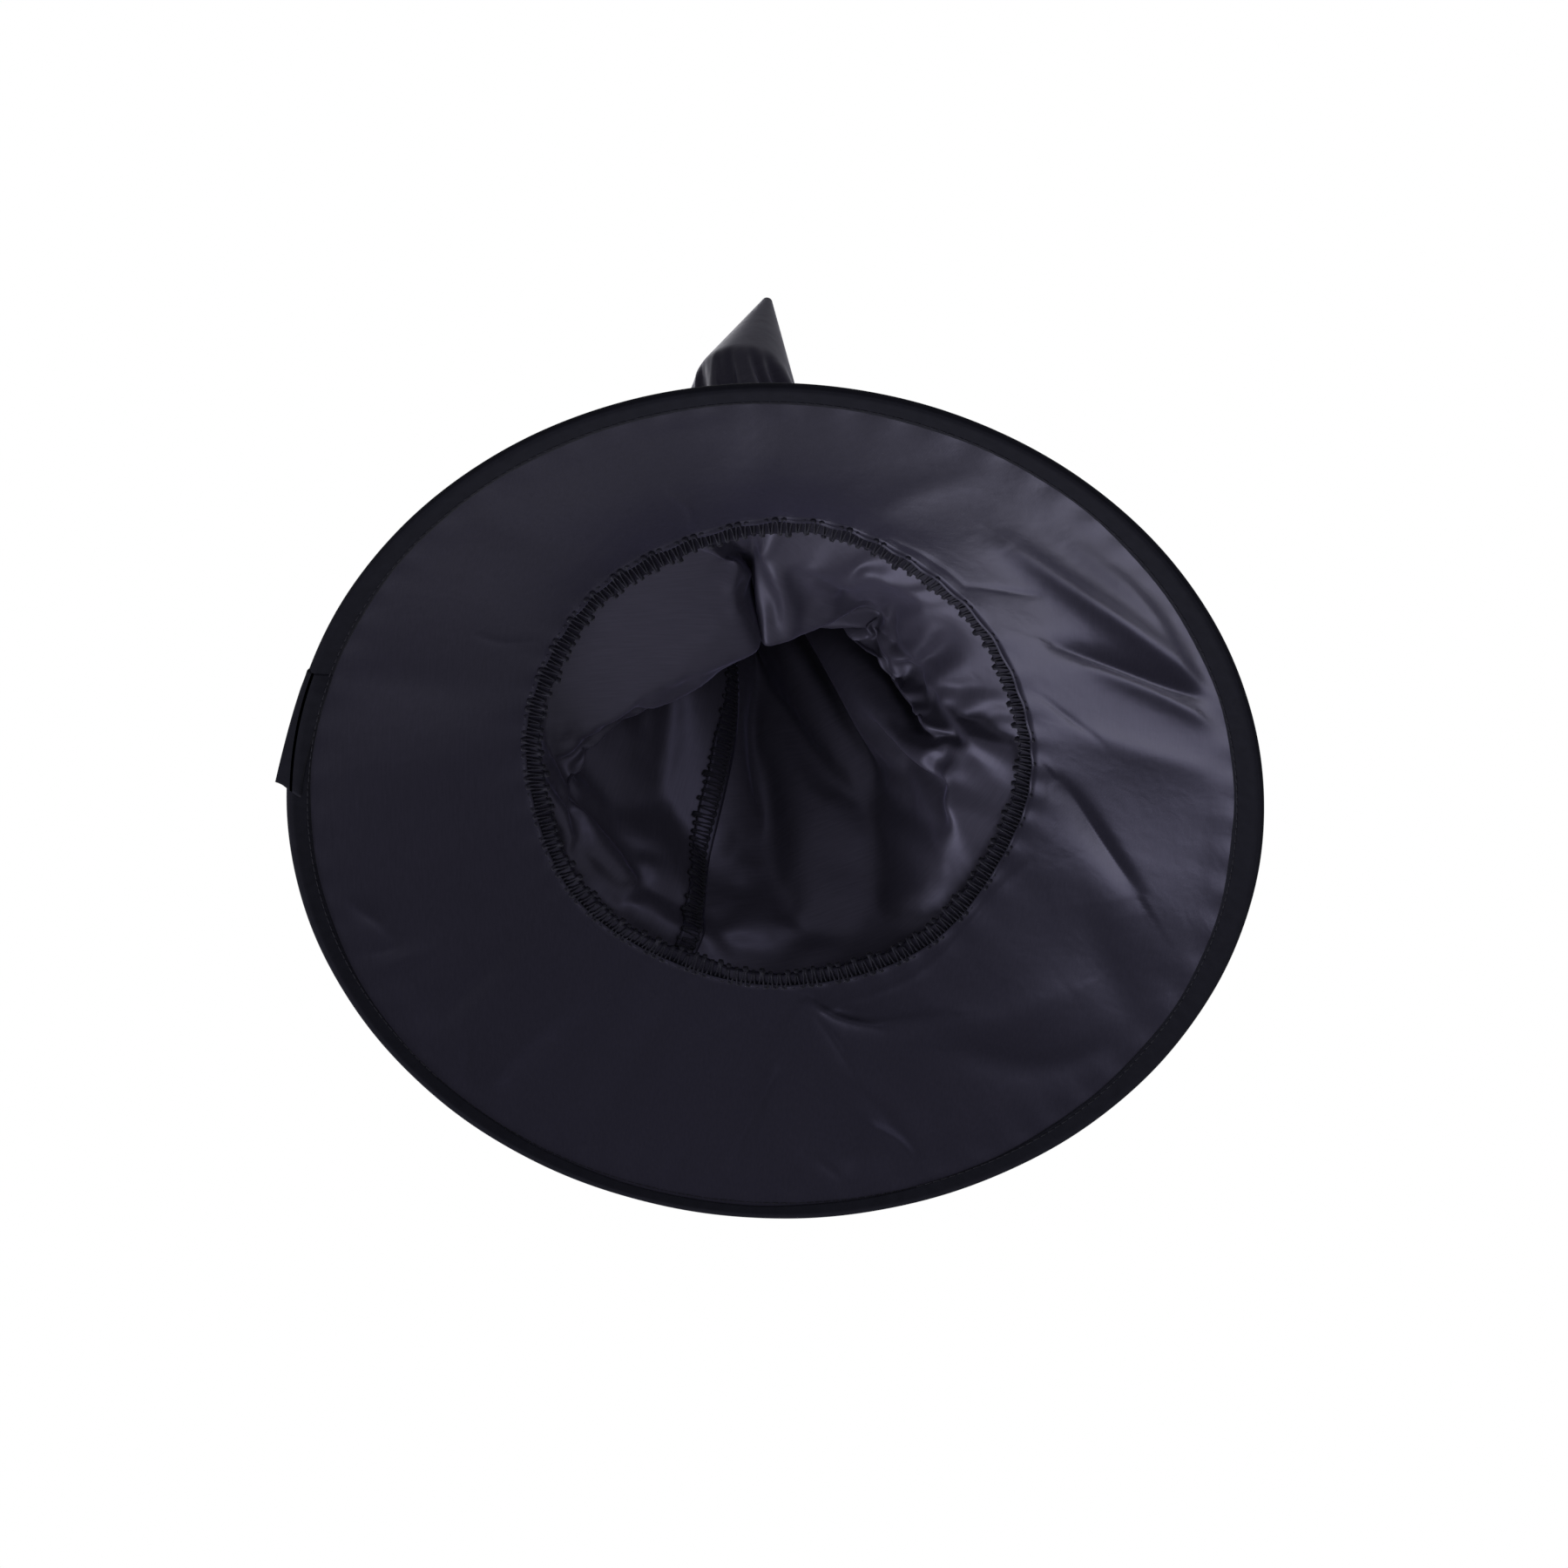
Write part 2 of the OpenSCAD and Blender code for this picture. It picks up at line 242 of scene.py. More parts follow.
def fold_height(folds, a, up_slope):
    """Sum of the folds at each place (angle, distance up the slope from the rim), in metres."""
    r = rim_r - up_slope * math.cos(slope_a)
    x, y = r * np.cos(a), r * np.sin(a)
    total = np.zeros_like(x)
    for places, bulge, spread_1, spread_2 in folds:
        line = np.array([((rim_r - u * mm * math.cos(slope_a)) * math.cos(math.radians(d)),
                          (rim_r - u * mm * math.cos(slope_a)) * math.sin(math.radians(d)))
                         for d, u in places])
        for _ in range(3):
            corners_cut = np.column_stack([0.75 * line[:-1] + 0.25 * line[1:],
                                           0.25 * line[:-1] + 0.75 * line[1:]]).reshape(-1, 2)
            line = np.vstack([line[:1], corners_cut[1:-1], line[-1:]])
        steps = np.hypot(*(line[1:] - line[:-1]).T)
        along = np.concatenate([[0], np.cumsum(steps)]) / steps.sum()
        nearest = np.full(x.shape, 1e9)
        share = np.zeros_like(x)
        sign = np.zeros_like(x)
        for p, q, t1, t2 in zip(line[:-1], line[1:], along[:-1], along[1:]):
            d = q - p
            t = np.clip(((x - p[0]) * d[0] + (y - p[1]) * d[1]) / (d @ d), 0, 1)
            off = np.hypot(x - p[0] - t * d[0], y - p[1] - t * d[1])
            closer = off < nearest
            nearest = np.where(closer, off, nearest)
            share = np.where(closer, t1 + t * (t2 - t1), share)
            turn = d[0] * (y - p[1]) - d[1] * (x - p[0])
            sign = np.where(closer, turn, sign)
        inward = line[-1] @ line[-1] < line[0] @ line[0]
        later_side = (sign > 0) != inward
        spread = np.where(later_side, spread_2, spread_1) * mm
        swell = np.sin(np.pi * np.clip(0.08 + 0.84 * share, 0, 1)) ** 0.7
        total += bulge * mm * swell / (1 + (nearest / spread) ** 2) ** 1.5
    return total


def eased(t):
    """Goes from 0 to 1 as t does, slowly at both ends."""
    return t * t * (3 - 2 * t)


def brim_shape(a, up_slope):
    """How far the middle of the brim's layers lies below its flat cone. The folds die away at
    the wire and at the head seam, which hold the cloth."""
    share = up_slope / slope_l
    held = eased(np.clip((up_slope - 9 * mm) / (14 * mm), 0, 1))
    held = held * np.clip((slope_l - up_slope) / (6 * mm), 0, 1)
    waves = mm * np.sin(np.pi * share) * (0.7 * np.sin(5 * a + 0.9) + 0.5 * np.sin(9 * a + 2.0)
                                          + 0.35 * np.sin(15 * a + 0.4))
    return held * (waves + fold_height(brim_folds, a, up_slope))


def seam_height(a):
    """Height of the head seam, which the slumped crown has pulled up at the front."""
    return seam_z + mm * (3 * np.sin(a) ** 2 - 5 * np.sin(a) + 0.5 * np.sin(3 * a + 1.0))


def around(a, r, z):
    """Points at the given angles, distances from the hat's axis, and heights."""
    return np.stack([r * np.cos(a), r * np.sin(a), z], -1)


def brim_place(a, up_slope, below):
    """Points of a layer that lies the given distance below the middle of the brim. Past the end
    of the slope the layer turns in level, into the head opening."""
    turned_in = np.clip(up_slope - slope_l, 0, 1)
    up_slope = np.minimum(up_slope, slope_l)
    near_seam = np.clip(up_slope / slope_l, 0, 1) ** 3
    r = rim_r - up_slope * math.cos(slope_a) + near_seam * seam_swell(a)
    z = rim_z + up_slope * math.sin(slope_a) + near_seam * (seam_height(a) - seam_z)
    down = brim_shape(a, up_slope) + below
    r = r - down * math.sin(slope_a) - turned_in
    z = z - down * math.cos(slope_a)
    return around(a, r, z)


def add_mesh(name, points, faces):
    """A new object from points and faces, smooth to look at."""
    mesh = bpy.data.meshes.new(name)
    mesh.from_pydata(np.asarray(points, float).reshape(-1, 3).tolist(), [], faces)
    mesh.update()
    mesh.polygons.foreach_set("use_smooth", [True] * len(mesh.polygons))
    made = bpy.data.objects.new(name, mesh)
    bpy.context.scene.collection.objects.link(made)
    return made


def net_faces(rows, columns, offset=0, closed=True, flip=False):
    """Faces of a net of points. A closed net joins its last column to its first."""
    faces = []
    for i in range(rows - 1):
        for j in range(columns if closed else columns - 1):
            k = (j + 1) % columns
            quad = [offset + i * columns + j, offset + i * columns + k,
                    offset + (i + 1) * columns + k, offset + (i + 1) * columns + j]
            faces.append(quad[::-1] if flip else quad)
    return faces


def closed_shell(name, face_1, face_2, closed=True):
    """A cloth with thickness: two nets of points, joined round their edges."""
    rows, columns = face_1.shape[:2]
    count = rows * columns
    faces = net_faces(rows, columns, 0, closed) + net_faces(rows, columns, count, closed, flip=True)
    for j in range(columns if closed else columns - 1):
        k = (j + 1) % columns
        faces.append([j, j + count, k + count, k])
        last = (rows - 1) * columns
        faces.append([last + k, last + k + count, last + j + count, last + j])
    if not closed:
        for i in range(rows - 1):
            a, b = i * columns, (i + 1) * columns
            faces.append([b, b + count, a + count, a])
            a, b = a + columns - 1, b + columns - 1
            faces.append([a, a + count, b + count, b])
    return add_mesh(name, np.concatenate([face_1.reshape(-1, 3), face_2.reshape(-1, 3)]), faces)


def brim_layer(name, top, bottom, across, round_steps, extra=None, ends=-0.4 * mm):
    """One of the brim's layers, from the rim up to the head seam."""
    a, u = np.meshgrid(np.linspace(0, 2 * np.pi, round_steps, endpoint=False),
                       np.linspace(layers_start, slope_l + ends, across))
    more = extra(a, u) if extra else 0
    return closed_shell(name, brim_place(a, u, bottom + more), brim_place(a, u, top + more))


# Small creases of the loose under cloth alone, written like the folds above
under_creases = [
    ([(78, 84), (62, 86), (50, 89), (38, 92), (20, 86)], 0.9, 1.5, 2.5),
    ([(81, 90), (76, 80), (68, 72)], 1.1, 1.2, 2.6),
    ([(82, 88), (86, 78), (88, 66)], 0.8, 1.4, 2.2),
    ([(80, 82), (77, 70), (75, 56)], 0.7, 1.6, 2.4),
    ([(96, 80), (100, 70), (102, 58)], 0.6, 2.0, 3.0),
    ([(1, 78), (8, 62), (13, 48)], 0.5, 0.9, 2.0),
    ([(-30, 66), (-25, 44), (-21, 24)], 0.5, 1.2, 2.4),
    ([(82, 22), (80, 16), (79, 12)], 0.5, 1.2, 2.0),
    ([(88, 58), (91, 42), (94, 20)], 0.8, 1.4, 3.2),
    ([(74, 34), (70, 24), (69, 13)], 0.6, 1.2, 2.6),
    ([(144, 30), (143, 20), (141, 11)], 0.7, 1.6, 2.8),
    ([(153, 26), (154, 17), (155, 11)], 0.6, 1.4, 2.4),
    ([(135, 24), (133, 16), (132, 11)], 0.5, 1.4, 2.4),
    ([(100, 24), (101, 16), (101, 12)], 0.5, 1.4, 2.0),
    ([(163, 14), (160, 20), (154, 26)], 0.6, 1.5, 2.5),
    ([(208, 88), (206, 74), (207, 60)], 0.5, 1.6, 2.4),
    ([(250, 88), (252, 76), (250, 60)], 0.5, 1.6, 2.4),
    ([(310, 88), (314, 74), (318, 62)], 0.6, 1.6, 2.6),
    ([(292, 90), (300, 87), (310, 88)], 0.5, 1.4, 2.2),
    ([(340, 88), (346, 76), (350, 66)], 0.5, 1.4, 2.4),
]


def pinched_at_rim(up_slope):
    """How much the rim's stitches pucker a loose cloth: most of all 10 mm in from the wire."""
    return (np.exp(-np.clip(up_slope - 10 * mm, 0, 1) / (6 * mm))
            * np.clip(up_slope / (10 * mm), 0, 1))


def under_cloth_slack(a, up_slope):
    """The under cloth bellies a little and puckers where it is sewn in at the rim and the head."""
    share = up_slope / slope_l
    belly = 0.5 * mm * np.sin(np.pi * share)
    at_rim = pinched_at_rim(up_slope)
    at_head = np.exp(-(slope_l - up_slope) / (7 * mm))
    pucker = mm * (0.22 * at_rim * (1 + np.sin(61 * a + 1.2 * np.sin(7 * a)))
                   + 0.30 * at_head * (1 + np.sin(43 * a + 1.5 * np.sin(5 * a))))
    loose = np.clip((up_slope - 8 * mm) / (8 * mm), 0, 1)
    return belly + pucker + loose * np.abs(fold_height(under_creases, a, up_slope))


def top_cloth_slack(a, up_slope):
    """The top cloth stands a little proud, and puckers at its seams too."""
    share = up_slope / slope_l
    pucker = 0.2 * mm * pinched_at_rim(up_slope) * (1 + np.sin(57 * a + 1.4 * np.sin(6 * a)))
    return -0.4 * mm * np.sin(np.pi * share) - pucker


half_stack = stiffener_t / 2 + layer_gap
brim_under = brim_layer("satin_brim_under_cloth", half_stack, half_stack + cloth_t,
                        across=90, round_steps=840, extra=under_cloth_slack, ends=2.2 * mm)
brim_middle = brim_layer("brim_stiffener_ring", -stiffener_t / 2, stiffener_t / 2,
                         across=40, round_steps=360)
brim_top = brim_layer("satin_brim_top_cloth", -half_stack - cloth_t, -half_stack,
                      across=70, round_steps=600, extra=top_cloth_slack)


def new_effect(name, **numbers):
    """A node group for use in materials, with an input for the place on the cloth and one for
    each number, and with a height and a shade that come out. Gives its ends too."""
    group = bpy.data.node_groups.new(name, "ShaderNodeTree")
    group.interface.new_socket(name="Lay", in_out="INPUT", socket_type="NodeSocketVector")
    for key, value in numbers.items():
        socket = group.interface.new_socket(name=key.replace("_", " "), in_out="INPUT",
                                            socket_type="NodeSocketFloat")
        socket.default_value = value
    for key in ("Height", "Shade"):
        group.interface.new_socket(name=key, in_out="OUTPUT", socket_type="NodeSocketFloat")
    return group, group.nodes.new("NodeGroupInput"), group.nodes.new("NodeGroupOutput")


# Fine weave: long satin floats one way, with thicker threads here and there
satin_weave, given, result = new_effect("satin_weave", Threads_per_metre=2600, Float_length=5)
per_thread = put(satin_weave, "ShaderNodeVectorMath", set_operation="SCALE")
parts = put(satin_weave, "ShaderNodeSeparateXYZ")
down_float = maths(satin_weave, "DIVIDE")
row_shift = maths(satin_weave, "FLOOR")
row_step = maths(satin_weave, "MULTIPLY", 0.4)
staggered = maths(satin_weave, "ADD")
across_thread = maths(satin_weave, "PINGPONG", 0.5)
along_float = maths(satin_weave, "PINGPONG", 0.5)
crown_of_thread = maths(satin_weave, "MULTIPLY")
stretch = put(satin_weave, "ShaderNodeCombineXYZ")
thin = maths(satin_weave, "MULTIPLY", 0.06)
slubs = put(satin_weave, "ShaderNodeTexNoise", Scale=0.5, Detail=2.0)
join(satin_weave, (given, "Lay", per_thread, 0), (given, "Threads per metre", per_thread, "Scale"),
     (per_thread, 0, parts, 0), (parts, 1, down_float, 0), (given, "Float length", down_float, 1),
     (parts, 0, row_shift, 0), (row_shift, 0, row_step, 0), (row_step, 0, staggered, 0),
     (down_float, 0, staggered, 1), (parts, 0, across_thread, 0), (staggered, 0, along_float, 0),
     (across_thread, 0, crown_of_thread, 0), (along_float, 0, crown_of_thread, 1),
     (parts, 0, stretch, 0), (parts, 1, thin, 0), (thin, 0, stretch, 1), (parts, 2, stretch, 2),
     (stretch, 0, slubs, "Vector"), (crown_of_thread, 0, result, "Height"),
     (slubs, 0, result, "Shade"))

# Rumples: the soft dents that cloth keeps from being packed flat, without a direction
rumples, given, result = new_effect("rumples", Dents_per_metre=30, Sharpness=0.3)
wide = put(rumples, "ShaderNodeTexNoise", Detail=3.0, Roughness=0.5, Distortion=0.4)
creased = put(rumples, "ShaderNodeTexVoronoi", set_feature="SMOOTH_F1", Smoothness=0.6)
finer = maths(rumples, "MULTIPLY", 0.7)
both = put(rumples, "ShaderNodeMix", set_data_type="FLOAT")
join(rumples, (given, "Lay", wide, "Vector"), (given, "Dents per metre", wide, "Scale"),
     (given, "Lay", creased, "Vector"), (given, "Dents per metre", finer, 0),
     (finer, 0, creased, "Scale"), (given, "Sharpness", both, 0), (wide, 0, both, 2),
     (creased, 0, both, 3), (both, 0, result, "Height"), (wide, 0, result, "Shade"))


def bare_material(name):
    """A new material with an empty Principled shader, its node tree and that shader."""
    material = bpy.data.materials.new(name)
    material.use_nodes = True
    return material, material.node_tree, material.node_tree.nodes["Principled BSDF"]


def two_tones(tree, dark, light):
    """A mix of two colours, whose first input says how much of the light one."""
    mix = put(tree, "ShaderNodeMix", set_data_type="RGBA")
    mix.inputs[6].default_value, mix.inputs[7].default_value = (*dark, 1), (*light, 1)
    return mix


def use_group(tree, group, **values):
    """One of the shared effects, placed in a material with its own values."""
    return give(put(tree, "ShaderNodeGroup", set_node_tree=group), **values)


def black_satin(name, lay=None, dark=(0.0072, 0.0067, 0.0104), light=(0.0132, 0.0122, 0.0190),
                rough=(0.32, 0.42), shine=0.13, sheen=0.15):
    """Black polyester satin with a cool sheen. lay names the attribute that holds the place on
    the flat cloth; without it the cloth was cut flat and lies almost as it was cut."""
    material, tree, shader = bare_material(name)
    if lay:
        where, place = put(tree, "ShaderNodeAttribute", set_attribute_name=lay), "Vector"
    else:
        where, place = put(tree, "ShaderNodeTexCoord"), "Object"
    body = put(tree, "ShaderNodeTexCoord")
    weave = use_group(tree, satin_weave, Threads_per_metre=2400, Float_length=5)
    dents = use_group(tree, rumples, Dents_per_metre=34, Sharpness=0.35)
    small_dents = use_group(tree, rumples, Dents_per_metre=150, Sharpness=0.2)
    colour = two_tones(tree, dark, light)
    gloss = put(tree, "ShaderNodeMapRange", To_Min=rough[0], To_Max=rough[1])
    dent_bump = put(tree, "ShaderNodeBump", Strength=0.55, Distance=1.4 * mm)
    small_bump = put(tree, "ShaderNodeBump", Strength=0.5, Distance=0.22 * mm)
    weave_bump = put(tree, "ShaderNodeBump", Strength=0.35, Distance=0.12 * mm)
    join(tree, (where, place, weave, "Lay"), (body, "Object", dents, "Lay"),
         (body, "Object", small_dents, "Lay"), (weave, "Shade", colour, 0),
         (colour, 2, shader, "Base Color"), (dents, "Shade", gloss, "Value"),
         (gloss, 0, shader, "Roughness"), (dents, "Height", dent_bump, "Height"),
         (small_dents, "Height", small_bump, "Height"), (dent_bump, 0, small_bump, "Normal"),
         (weave, "Height", weave_bump, "Height"), (small_bump, 0, weave_bump, "Normal"),
         (weave_bump, 0, shader, "Normal"))
    give(shader, Specular_IOR_Level=shine, Specular_Tint=(0.68, 0.65, 1.0, 1), Sheen_Weight=sheen,
         Sheen_Roughness=0.35, Sheen_Tint=(0.58, 0.54, 1.0, 1))
    return material


brim_satin = black_satin("brim_satin")
for cloth, node in ((brim_under, "brim_under_cloth"), (brim_top, "brim_top_cloth")):
    cloth.data.materials.append(brim_satin)
    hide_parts(node)
    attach(cloth, "brim_and_crown_base")

interlining, tree, shader = bare_material("interlining")
body = put(tree, "ShaderNodeTexCoord")
fibres = put(tree, "ShaderNodeTexNoise", Scale=900.0, Detail=4.0, Roughness=0.7, Distortion=1.5)
felt_colour = two_tones(tree, (0.032, 0.032, 0.036), (0.060, 0.060, 0.066))
felt_bump = put(tree, "ShaderNodeBump", Strength=0.5, Distance=0.2 * mm)
join(tree, (body, "Object", fibres, "Vector"), (fibres, 0, felt_colour, 0),
     (felt_colour, 2, shader, "Base Color"), (fibres, 0, felt_bump, "Height"),
     (felt_bump, 0, shader, "Normal"))
give(shader, Roughness=0.9, Specular_IOR_Level=0.2)
brim_middle.data.materials.append(interlining)
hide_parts("brim_stiffener")
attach(brim_middle, "brim_and_crown_base")


# --- Rim wire and its sleeve -----------------------------------------------------------------
# One turn of bright spring steel, drawn round, and a crimped steel sleeve over its two ends.
# Both lie hidden in the fold of the binding, and keep their shapes from the solid model.

def drawn_steel(name, colour, roughness, grain):
    """Bare steel with fine lines from drawing, and a little oil stain."""
    material, tree, shader = bare_material(name)
    body = put(tree, "ShaderNodeTexCoord")
    stain = put(tree, "ShaderNodeTexNoise", Scale=160.0, Detail=3.0)
    lines = put(tree, "ShaderNodeTexNoise", Scale=grain, Detail=2.0)
    tone = two_tones(tree, [c * 0.72 for c in colour], colour)
    rough = put(tree, "ShaderNodeMapRange", To_Min=roughness, To_Max=roughness + 0.15)
    bump = put(tree, "ShaderNodeBump", Strength=0.2, Distance=0.03 * mm)
    join(tree, (body, "Object", stain, "Vector"), (body, "Object", lines, "Vector"),
         (stain, 0, tone, 0), (tone, 2, shader, "Base Color"), (stain, 0, rough, "Value"),
         (rough, 0, shader, "Roughness"), (lines, 0, bump, "Height"), (bump, 0, shader, "Normal"))
    give(shader, Metallic=1.0)
    return material


for node, name, colour, roughness, grain in (
        ("rim_hoop_wire", "spring_steel", (0.50, 0.50, 0.52), 0.25, 3000.0),
        ("hoop_joining_sleeve", "sleeve_steel", (0.58, 0.58, 0.60), 0.32, 1800.0)):
    metal = frame["nodes"][node]
    metal.data.materials.clear()
    metal.data.materials.append(drawn_steel(name, colour, roughness, grain))


# --- Binding ---------------------------------------------------------------------------------
# A matte black tape, folded over the wire and the brim's raw edges and sewn through. Its loose
# end laps its start on one side, and stands off there as a small cut corner.

tape_w = 10 * mm
tape_t = 0.55 * mm
tape_in_r = 1.35 * mm
tape_out_r = tape_in_r + tape_t
leg_points, bend_points = 7, 16


def under_leg(a):
    """Width of the tape on the brim's under side. It was sewn on by hand and eye, and there is
    hardly any of it at the back."""
    return mm * np.interp(np.degrees(a) % 360, [0, 45, 90, 135, 180, 225, 270, 330, 360],
                          [10.0, 6.4, 3.2, 4.6, 7.4, 8.0, 7.8, 9.4, 10.0])


def tape_section(radius):
    """The folded tape's outline in the slope's own directions: (up the slope, above it)."""
    low = [(tape_w * (1 - i / leg_points), -radius) for i in range(leg_points)]
    bend = [(-radius * math.sin(math.pi * i / bend_points),
             -radius * math.cos(math.pi * i / bend_points)) for i in range(bend_points + 1)]
    high = [(tape_w * (i + 1) / leg_points, radius) for i in range(leg_points)]
    return np.array(low + bend + high)


def slope_place(a, u, v):
    """Places near the rim: round, up the slope from the wire, and above the slope."""
    r = rim_r - u * math.cos(slope_a) + v * math.sin(slope_a)
    z = rim_z + u * math.sin(slope_a) + v * math.cos(slope_a)
    return around(a, r, z)


def tape_band(name, angles, radius, puckers, spring_off=0, cut_slant=0, flush=0):
    """The tape swept round the rim. spring_off lifts its first end outward, cut_slant slants its
    cut, and flush sinks its last end on to the tape beneath."""
    count = len(angles)
    nets = []
    for face_r, least_z in ((radius, 0), (radius - tape_t, tape_t)):
        section = tape_section(face_r)
        u = section[:, 0][None, :] * np.ones((count, 1))
        v = section[:, 1][None, :] * np.ones((count, 1))
        a = angles[:, None] * np.ones_like(u)
        leg = np.clip(u / tape_w, 0, 1)
        u[:, :leg_points] *= (under_leg(a) / tape_w)[:, :leg_points]
        u = u * (1 + 0.03 * np.sin(9 * a + 1.0) + 0.02 * np.sin(23 * a))
        v = v - flush * np.sign(v) * np.clip((a - angles[-1]) * rim_r / (9 * mm) + 1, 0, 1)
        v = v + np.sign(v) * puckers * leg * (0.5 + 0.5 * np.sin(173 * a + 2 * np.sin(11 * a)))
        to_end = np.linspace(1, 0, count)[:, None]
        lift = spring_off * to_end ** 2.2
        a = a + cut_slant * to_end ** 6 * np.clip((u + radius) / tape_w, 0, 1)
        net = slope_place(a, u - lift, v)
        net[..., 2] = np.maximum(net[..., 2], least_z)
        nets.append(net)
    if spring_off:
        return closed_shell(name, nets[1], nets[0], closed=False)
    return ring_of_tape(name, nets)


def ring_of_tape(name, nets):
    """Joins the tape's outer and inner faces all the way round the rim."""
    profile = np.concatenate([nets[0], nets[1][:, ::-1]], axis=1)
    rows, columns = profile.shape[:2]
    faces = []
    for i in range(rows):
        k = (i + 1) % rows
        for j in range(columns):
            n = (j + 1) % columns
            faces.append([i * columns + j, k * columns + j, k * columns + n, i * columns + n])
    return add_mesh(name, profile, faces)


binding = tape_band("binding_tape_ring", np.linspace(0, 2 * np.pi, 900, endpoint=False),
                    tape_out_r, 0.10 * mm)

lap_end = math.radians(181.8)
lap_start = math.radians(197.2)
lap_r = 2.55 * mm
lap = tape_band("binding_tape_loose_end", np.linspace(lap_end, lap_start, 60), lap_r, 0.12 * mm,
                spring_off=4.2 * mm, cut_slant=math.radians(-2.2), flush=0.55 * mm)

bias_tape, tree, shader = bare_material("bias_tape")
body = put(tree, "ShaderNodeTexCoord")
tape_weave = use_group(tree, satin_weave, Threads_per_metre=1900, Float_length=2)
tape_dents = use_group(tree, rumples, Dents_per_metre=210, Sharpness=0.2)
tape_colour = two_tones(tree, (0.0045, 0.0045, 0.0072), (0.0090, 0.0090, 0.0135))
tape_bump = put(tree, "ShaderNodeBump", Strength=0.5, Distance=0.15 * mm)
tape_dent_bump = put(tree, "ShaderNodeBump", Strength=0.4, Distance=0.3 * mm)
join(tree, (body, "Object", tape_weave, "Lay"), (body, "Object", tape_dents, "Lay"),
     (tape_dents, "Shade", tape_colour, 0), (tape_colour, 2, shader, "Base Color"),
     (tape_dents, "Height", tape_dent_bump, "Height"), (tape_weave, "Height", tape_bump, "Height"),
     (tape_dent_bump, 0, tape_bump, "Normal"), (tape_bump, 0, shader, "Normal"))
give(shader, Roughness=0.85, Specular_IOR_Level=0.045, Sheen_Weight=0.02)
for tape, node in ((binding, "rim_binding"), (lap, "binding_end_lap")):
    tape.data.materials.append(bias_tape)
    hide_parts(node)
    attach(tape, "brim_and_crown_base")


def thread_pieces(middles, directions, outwards, length, thickness):
    """Points and faces of many short stitches, each a small rounded rod."""
    sides, stations = 6, ((-0.5, 0.35), (-0.42, 0.85), (0.0, 1.0), (0.42, 0.85), (0.5, 0.35))
    along = directions / np.linalg.norm(directions, axis=1)[:, None]
    across = np.cross(along, outwards)
    across /= np.linalg.norm(across, axis=1)[:, None]
    outward = np.cross(across, along)
    turn = 2 * np.pi * np.arange(sides) / sides
    rod = np.array([(s * length, w * np.cos(t), w * np.sin(t)) for s, w in stations for t in turn])
    points = (middles[:, None] + rod[None, :, 0:1] * along[:, None]
              + thickness / 2 * (rod[None, :, 1:2] * across[:, None]
                                 + rod[None, :, 2:3] * outward[:, None]))
    one = net_faces(len(stations), sides)
    one.append(list(range(sides))[::-1])
    one.append(list(range((len(stations) - 1) * sides, len(stations) * sides)))
    faces = [[v + n * len(rod) for v in f] for n in range(len(middles)) for f in one]
    return points.reshape(-1, 3), faces


def sew(name, groups):
    """One piece from several rows of stitches."""
    points, faces, start = [], [], 0
    for row_points, row_faces in groups:
        points.append(row_points)
        faces += [[v + start for v in f] for f in row_faces]
        start += len(row_points)
    return add_mesh(name, np.concatenate(points), faces)


stitch_l = 2.9 * mm
thread_t = 0.42 * mm


def rim_stitches(side):
    """The row of stitches on one face of the binding, side -1 below and 1 above. It keeps just
    inside the tape's under edge, and runs on the bare cloth where that gets too narrow."""
    count = int(2 * math.pi * (rim_r - tape_w) / (stitch_l * 1.16))
    a = np.linspace(0, 2 * np.pi, count, endpoint=False)
    u = np.clip(under_leg(a) - 1.4 * mm, 4.6 * mm, 8.5 * mm)
    on_lap = (a > lap_end) & (a < lap_start)
    v = side * (np.where(on_lap, lap_r, tape_out_r) + 0.12 * mm)
    if side < 0:
        v = np.where(under_leg(a) > u, v, -(half_stack + cloth_t + 0.25 * mm))
    directions = np.stack([-np.sin(a), np.cos(a), 0 * a], -1)
    outwards = side * around(a, math.sin(slope_a), math.cos(slope_a) + 0 * a)
    return thread_pieces(slope_place(a, u, v), directions, outwards, stitch_l, thread_t)


rim_sewing = sew("binding_sewing", [rim_stitches(-1), rim_stitches(1)])


def black_thread(name, dark, light, roughness):
    """Twisted black thread, in which a ply shows as a fine slanting line."""
    material, tree, shader = bare_material(name)
    body = put(tree, "ShaderNodeTexCoord")
    ply = put(tree, "ShaderNodeTexWave", set_bands_direction="DIAGONAL", Scale=900.0,
              Distortion=1.5)
    fuzz = put(tree, "ShaderNodeTexNoise", Scale=1400.0, Detail=2.0)
    tone = two_tones(tree, dark, light)
    bump = put(tree, "ShaderNodeBump", Strength=0.5, Distance=0.08 * mm)
    join(tree, (body, "Object", ply, "Vector"), (body, "Object", fuzz, "Vector"),
         (fuzz, 0, tone, 0), (tone, 2, shader, "Base Color"), (ply, 1, bump, "Height"),
         (bump, 0, shader, "Normal"))
    give(shader, Roughness=roughness, Specular_IOR_Level=0.08, Specular_Tint=(0.75, 0.72, 1.0, 1),
         Sheen_Weight=0.03)
    return material


sewing_thread = black_thread("sewing_thread", (0.006, 0.006, 0.008), (0.012, 0.012, 0.015), 0.5)
rim_sewing.data.materials.append(sewing_thread)
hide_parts("binding_stitching")
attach(rim_sewing, "brim_and_crown_base")


# --- Crown -----------------------------------------------------------------------------------
# A sector of black satin, sewn into a tall cone. It has slumped: its front wall has fallen
# into the hat in big folds, and its point stands forward. The cloth is draped by simulation,
# pulled by a few of its points, and is cut in two at a level ring so that each half can bend.

